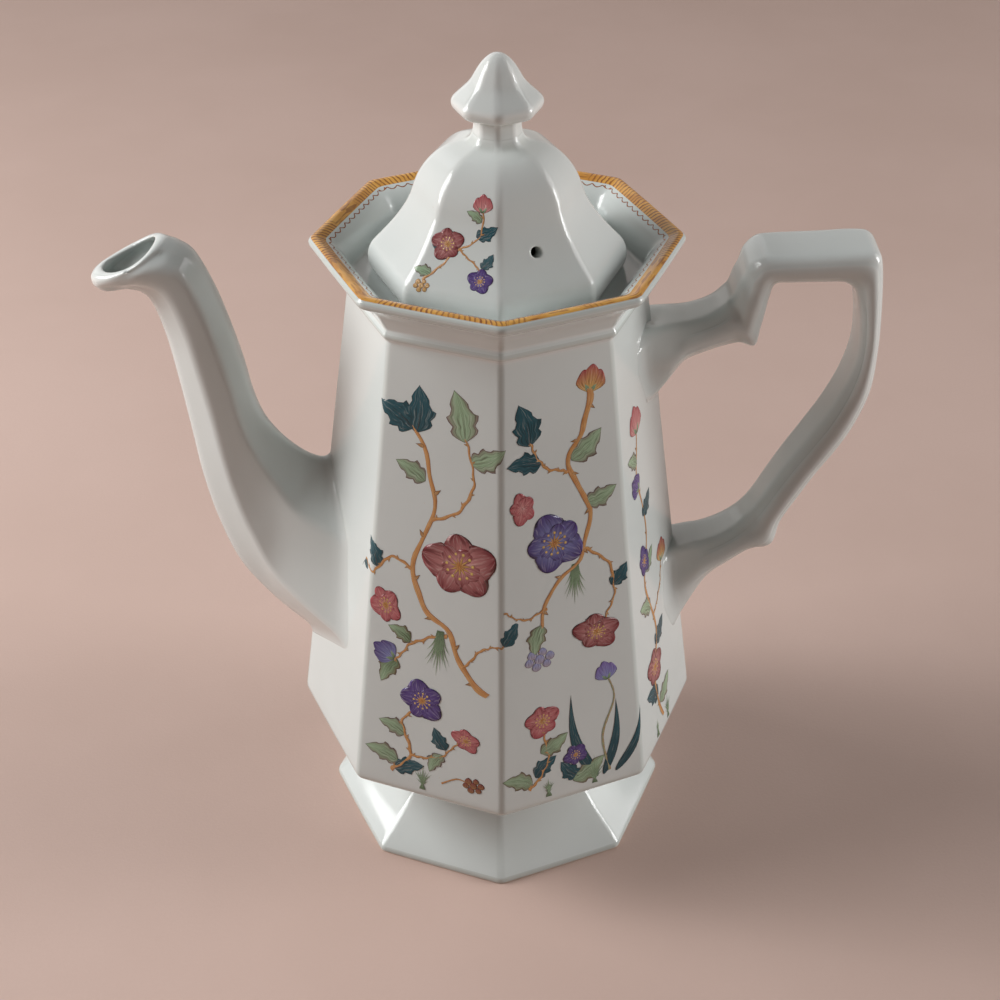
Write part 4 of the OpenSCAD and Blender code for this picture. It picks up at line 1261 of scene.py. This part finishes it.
def wear(tree, shader, height, distance, strength=1.0, **sockets):
    """Links sockets to the shader's inputs, each named with _ for a space, and bumps it by a height."""
    for key, socket in sockets.items():
        tree.links.new(socket, shader.inputs[key.replace("_", " ")])
    bump = put(tree, "Bump", Strength=strength, Distance=distance, Height=height)
    tree.links.new(bump.outputs["Normal"], shader.inputs["Normal"])


# %% The glaze group
glaze_tree, gin, gout = group(
    "glaze_coat",
    [("Glaze", "Color", (0.7, 0.7, 0.7, 1)), ("Thin", "Color", (0.8, 0.8, 0.8, 1)),
     ("Pooled", "Color", (0.5, 0.5, 0.5, 1)), ("Biscuit", "Color", (0.6, 0.5, 0.4, 1))],
    [("Color", "Color", None), ("Roughness", "Float", None), ("Height", "Float", None)])
t = glaze_tree
place = put(t, "TexCoord").outputs["Object"]
relief_at = put(t, "Attribute", {"attribute_name": "relief"}).outputs["Fac"]
bare_at = put(t, "Attribute", {"attribute_name": "bare"}).outputs["Fac"]
cloud = noise(t, place, 38.0, 3.0)
ridge = between(t, relief_at, 0.03, 0.5)
hollow = between(t, relief_at, -0.03, -0.45)
ridge = calc(t, "MULTIPLY", ridge, between(t, cloud, 0.25, 0.75, 0.45, 1.0))
colour = blend(t, calc(t, "MULTIPLY", ridge, 0.7), gin.outputs["Glaze"], gin.outputs["Thin"])
colour = blend(t, calc(t, "MULTIPLY", hollow, 0.75), colour, gin.outputs["Pooled"])
colour = blend(t, between(t, cloud, 0.35, 0.75, 0.0, 0.16), colour, gin.outputs["Pooled"])
speck = between(t, noise(t, place, 620.0, 1.0), 0.80, 0.86, 0.0, 0.35)
colour = blend(t, speck, colour, gin.outputs["Biscuit"])
colour = blend(t, bare_at, colour, gin.outputs["Biscuit"])
fine = noise(t, place, 420.0, 2.0)
rough = between(t, noise(t, place, 90.0, 2.0), 0.3, 0.7, 0.055, 0.11)
rough = calc(t, "ADD", rough, calc(t, "MULTIPLY", bare_at, 0.6))
wave = noise(t, place, 42.0, 1.0, 0.4)
height = calc(t, "ADD", calc(t, "MULTIPLY", wave, 0.96), calc(t, "MULTIPLY", fine, 0.012))
height = calc(t, "ADD", height, calc(t, "MULTIPLY", calc(t, "MULTIPLY", fine, bare_at), 0.2))
for label, socket in (("Color", colour), ("Roughness", rough), ("Height", height)):
    t.links.new(socket, gout.inputs[label])

# %% Glaze on the pot and on the lid
BISCUIT = (0.62, 0.55, 0.45, 1)      # the clay where no glaze covers it
GLAZE_BUMP, ENAMEL_BUMP, PAPER_BUMP = 0.00010, 0.00004, 0.00015     # depth of their bumps, m


def glaze(name, body, thin, pooled):
    """A material that wears the glaze group: its own tints, a glossy coat and a soft bump."""
    look, tree, shader = material(name)
    coat = put(tree, "Group", {"node_tree": glaze_tree}, Glaze=body, Thin=thin, Pooled=pooled,
               Biscuit=BISCUIT).outputs
    wear(tree, shader, Base_Color=coat["Color"], Roughness=coat["Roughness"], height=coat["Height"],
         distance=GLAZE_BUMP)
    shader.inputs["IOR"].default_value = 1.52
    return look


pot_glaze = glaze("pot_glaze", (0.683, 0.728, 0.712, 1), (0.77, 0.787, 0.765, 1), (0.547, 0.587, 0.558, 1))
lid_glaze = glaze("lid_glaze", (0.705, 0.737, 0.717, 1), (0.79, 0.797, 0.772, 1), (0.562, 0.592, 0.56, 1))

# %% [markdown]
# ### Enamel
# Enamel is coloured glass ground fine and laid on with a brush. Each stroke is denser at its edges,
# where the paint draws up, and streaky along its length. The colour comes from the pieces' own
# `paint` attribute, and the UV map of each stroke says which way its streaks run.

# %% Enamel for the sprays
enamel, t, shader = material("spray_enamel")
paint = put(t, "Attribute", {"attribute_name": "paint"}).outputs["Color"]
edge = put(t, "Attribute", {"attribute_name": "edge_mm"}).outputs["Fac"]
veined = put(t, "Attribute", {"attribute_name": "veined"}).outputs["Fac"]
across, along, _ = put(t, "SeparateXYZ", Vector=put(t, "UVMap", {"uv_map": "strokes"}).outputs["UV"]).outputs
place = put(t, "TexCoord").outputs["Object"]
brush_place = put(t, "CombineXYZ", X=calc(t, "MULTIPLY", across, 7.0), Y=calc(t, "MULTIPLY", along, 1.6),
                  Z=calc(t, "MULTIPLY", noise(t, place, 60.0, 0.0), 9.0)).outputs[0]
streak = put(t, "TexNoise", Vector=brush_place, Scale=1.0, Detail=2.0, Roughness=0.6).outputs[0]
vein = calc(t, "SINE", calc(t, "MULTIPLY", across, 17.0))
vein = calc(t, "MULTIPLY", between(t, vein, 0.55, 1.0), between(t, along, 0.95, 0.15, 0.0, 0.55))
vein = calc(t, "MULTIPLY", vein, veined)
dark = blend(t, 1.0, paint, (0.34, 0.26, 0.24, 1), "MULTIPLY")
light = blend(t, 0.30, paint, (0.92, 0.88, 0.80, 1))
colour = blend(t, between(t, streak, 0.52, 0.75, 0.0, 0.75), paint, light)
colour = blend(t, between(t, streak, 0.48, 0.28, 0.0, 0.65), colour, dark)
colour = blend(t, vein, colour, dark)
colour = blend(t, between(t, edge, 0.30, 0.10, 0.0, 0.85), colour, dark)
wear(t, shader, Base_Color=colour, Roughness=between(t, streak, 0.3, 0.7, 0.13, 0.26),
     height=calc(t, "SUBTRACT", streak, vein), distance=ENAMEL_BUMP)

# %% Enamel for the rim's band
rim_look, t, shader = material("rim_enamel")
far, wide, _ = put(t, "SeparateXYZ", Vector=put(t, "UVMap", {"uv_map": "strokes"}).outputs["UV"]).outputs
place = put(t, "TexCoord").outputs["Object"]
shaky = calc(t, "MULTIPLY", calc(t, "SUBTRACT", noise(t, place, 420.0, 2.0), 0.5), 1.5)
at = calc(t, "ADD", calc(t, "ADD", far, calc(t, "MULTIPLY", wide, 0.55)), shaky)
hatch = between(t, calc(t, "SINE", calc(t, "MULTIPLY", at, 2 * math.pi / 1.5)), 0.1, 0.8)
block = between(t, noise(t, place, 55.0, 1.0), 0.47, 0.53)
hatch = calc(t, "MULTIPLY", hatch, block)
grain_x, grain_y = calc(t, "MULTIPLY", far, 0.14), calc(t, "MULTIPLY", wide, 4.6)
grain_place = put(t, "CombineXYZ", X=grain_x, Y=grain_y).outputs[0]
grain = put(t, "TexNoise", Vector=grain_place, Scale=1.0, Detail=1.0).outputs[0]
grain = between(t, grain, 0.52, 0.60, 0.0, 0.75)
grain = calc(t, "MULTIPLY", grain, calc(t, "SUBTRACT", 1.0, block))
rim_line = between(t, calc(t, "ABSOLUTE", calc(t, "SUBTRACT", wide, 0.5)), 0.42, 0.47)
lines = calc(t, "MAXIMUM", calc(t, "MAXIMUM", hatch, grain), calc(t, "MULTIPLY", rim_line, 0.75))
patchy = noise(t, place, 260.0, 3.0)
lines = calc(t, "MULTIPLY", lines, between(t, patchy, 0.25, 0.55, 0.45, 0.95))
ochre = between(t, noise(t, place, 150.0, 3.0), 0.35, 0.7)
ochre = blend(t, ochre, (0.76, 0.40, 0.085, 1), (0.60, 0.27, 0.05, 1))
colour = blend(t, lines, ochre, (0.26, 0.085, 0.022, 1))
wear(t, shader, Base_Color=colour, Roughness=between(t, patchy, 0.3, 0.7, 0.12, 0.28),
     height=calc(t, "ADD", lines, patchy), distance=ENAMEL_BUMP)

# %% [markdown]
# ### What each piece stands for
# Every skin rides on the body of the solids that it replaces and wears its material; the table also
# lists the record's finish for each. The sprays and the band ride along on the same bodies.

# %% Finishes, bodies and slots
DRESS = [
    ("pot_skin", "pot", ("pot_body", "foot", "collar"), "pot_glaze", pot_glaze),
    ("spout_skin", "pot", ("spout",), "pot_glaze", pot_glaze),
    ("handle_skin", "pot", ("handle",), "pot_glaze", pot_glaze),
    ("lid_skin", "lid", ("lid_cover", "lid_flange", "lid_knob"), "lid_glaze", lid_glaze),
    ("rim_band", "pot", (), "rim_enamel", rim_look),
    ("rim_scallops", "pot", (), "rim_enamel", enamel),
    ("sprays_front", "pot", (), "pot_glaze", enamel),
    ("sprays_back", "pot", (), "pot_glaze", enamel),
    ("lid_sprays", "lid", (), "lid_glaze", enamel)]
for name, body, nodes, finish, look in DRESS:
    piece = pieces[name]
    piece.data.materials.clear()
    piece.data.materials.append(look)
    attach(piece, body)
    if nodes:
        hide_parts(*nodes)
    print(name, "rides on", body, "and stands for", nodes or "nothing else")

# %% [markdown]
# ## Camera
# The camera looks down on the pot at about 34 degrees from the front, a little from the left of the
# middle. Its place and the three directions of its frame are written out as a matrix.

# %% The camera
CAMERA_AT = (-10.15, -474.44, 430.09)       # mm
PITCH, SIDE, ROLL = (math.radians(v) for v in (34.25, 1.319, 0.059))
LENS = 69.53                                # mm, on a sensor 36 mm wide


def camera_axes():
    """Right, up and backward of a camera turned SIDE about the upright axis, tipped down by PITCH
    and rolled by ROLL, as the columns of a rotation matrix."""
    right = np.array([math.cos(SIDE), -math.sin(SIDE), 0])
    ahead = np.array([math.cos(PITCH) * math.sin(SIDE), math.cos(PITCH) * math.cos(SIDE), -math.sin(PITCH)])
    up = np.cross(right, ahead)
    turned = [right * math.cos(ROLL) + up * math.sin(ROLL), up * math.cos(ROLL) - right * math.sin(ROLL)]
    return np.stack([*turned, -ahead], 1)


camera_data = bpy.data.cameras.new("camera")
camera_data.lens, camera_data.sensor_width = LENS, 36.0
camera = bpy.data.objects.new("camera", camera_data)
bpy.context.scene.collection.objects.link(camera)
pose = np.eye(4)
pose[:3, :3], pose[:3, 3] = camera_axes(), np.array(CAMERA_AT) * MM
camera.matrix_world = pose.T.tolist()
bpy.context.scene.camera = camera
print("camera", [round(v, 4) for v in camera.matrix_world.translation], camera_axes()[:, 2].round(4))

# %% [markdown]
# ## Floor and light
# The pot stands on a wide sheet of pale, warm pink paper that fades into a backdrop of a like colour.
# Two large soft lamps on the left light it, two on the right lift the other side, and one behind is
# its window; the world adds next to nothing. Lamps stay at a plain level: a colour in them renders
# about as it is written.

# %% The paper floor
PAPER, PAPER_DARK = (0.63, 0.465, 0.405, 1), (0.595, 0.435, 0.375, 1)
BACKDROP, BLACK = (0.50, 0.40, 0.36, 1), (0, 0, 0, 1)
FLOOR_R = 9000.0                    # the sheet reaches this far, mm
FLOOR_RINGS, FLOOR_ROUND = 24, 64   # its rings of points, and the points on each
FADE_FROM, FADE_TO = 0.95, 1.7      # between these distances, in metres, it turns into the backdrop


def paper_sheet():
    """A round sheet on the floor: rings of points whose radius grows as the square of the ring."""
    ring = FLOOR_R * np.linspace(0.02, 1, FLOOR_RINGS) ** 2
    turn = np.linspace(0, 2 * math.pi, FLOOR_ROUND, endpoint=False)
    x, y = ring[:, None] * np.cos(turn), ring[:, None] * np.sin(turn)
    points = np.concatenate([np.stack([x, y, 0 * x], -1).reshape(-1, 3), [[0, 0, 0]]])
    quads = grid_faces(FLOOR_RINGS, FLOOR_ROUND)[:, ::-1]
    piece = make_piece("paper", points, quads, fan(FLOOR_RINGS * FLOOR_ROUND, np.arange(FLOOR_ROUND)),
                       solid=False)
    del pieces["paper"]
    return piece


paper = paper_sheet()
paper_look, t, shader = material("paper")
place = put(t, "TexCoord").outputs["Object"]
fibre = noise(t, place, 900.0, 3.0, 0.7)
mottle = noise(t, place, 6.0, 4.0, 0.6)
tint = blend(t, between(t, mottle, 0.3, 0.7), PAPER, PAPER_DARK)
tint = blend(t, between(t, fibre, 0.35, 0.75, 0.0, 0.25), tint, PAPER_DARK)
away = put(t, "VectorMath", {"operation": "LENGTH"}, Vector=place).outputs["Value"]
away = between(t, away, FADE_FROM, FADE_TO)
wear(t, shader, Base_Color=blend(t, away, tint, BLACK),
     Emission_Color=blend(t, away, BLACK, BACKDROP), Roughness=between(t, fibre, 0.3, 0.7, 0.8, 0.95),
     height=fibre, distance=PAPER_BUMP, strength=0.4)
shader.inputs["Emission Strength"].default_value = 1.0
shader.inputs["Specular IOR Level"].default_value = 0.15
paper.data.materials.append(paper_look)
print("paper", FLOOR_R * MM, "m wide to each side")

# %% Lamps
AIM = (0, 0, 110)       # all lamps look at this point, mm
LAMPS = [               # name, place and size in mm, and power in watts
    ("key", (-960, -20, 640), (480, 750), 7.8),
    ("key_behind", (-930, 200, 640), (450, 700), 5.8),
    ("fill", (1480, 160, 760), (1000, 1300), 8.8),
    ("fill_low", (1500, -90, 500), (500, 700), 10.0),
    ("window", (-500, 1300, 800), (1400, 1200), 2.8)]


def soft_lamp(name, place, size, power):
    """A rectangular area lamp at `place`, turned to look at AIM."""
    data = bpy.data.lights.new(name, "AREA")
    data.shape, data.energy = "RECTANGLE", power
    data.size, data.size_y = size[0] * MM, size[1] * MM
    lamp = bpy.data.objects.new(name, data)
    bpy.context.scene.collection.objects.link(lamp)
    back = np.array(place, float) - AIM
    back /= np.linalg.norm(back)
    side = np.cross([0, 0, 1], back)
    side /= np.linalg.norm(side)
    turned = np.eye(4)
    turned[:3, :3] = np.stack([side, np.cross(back, side), back], 1)
    turned[:3, 3] = np.array(place) * MM
    lamp.matrix_world = turned.T.tolist()
    print("lamp", name, power, "W")


for lamp in LAMPS:
    soft_lamp(*lamp)

# %% The world: the backdrop where a ray from the camera or off a gloss meets it, else almost dark
WORLD_DIM = 0.01
world = bpy.data.worlds.new("studio")
world.use_nodes = True
t = world.node_tree
ray = put(t, "LightPath").outputs
seen = calc(t, "MAXIMUM", ray["Is Camera Ray"], ray["Is Transmission Ray"])
seen = calc(t, "MAXIMUM", seen, ray["Is Glossy Ray"])
dim = t.nodes["Background"]
dim.inputs["Color"].default_value = (0.5, 0.52, 0.54, 1)
dim.inputs["Strength"].default_value = WORLD_DIM
pale = put(t, "Background", Color=BACKDROP, Strength=1.0)
both = put(t, "MixShader", i0=seen, i1=dim.outputs[0], i2=pale.outputs[0])
t.links.new(both.outputs[0], t.nodes["World Output"].inputs["Surface"])
bpy.context.scene.world = world
bpy.context.scene.view_settings.view_transform = "Standard"
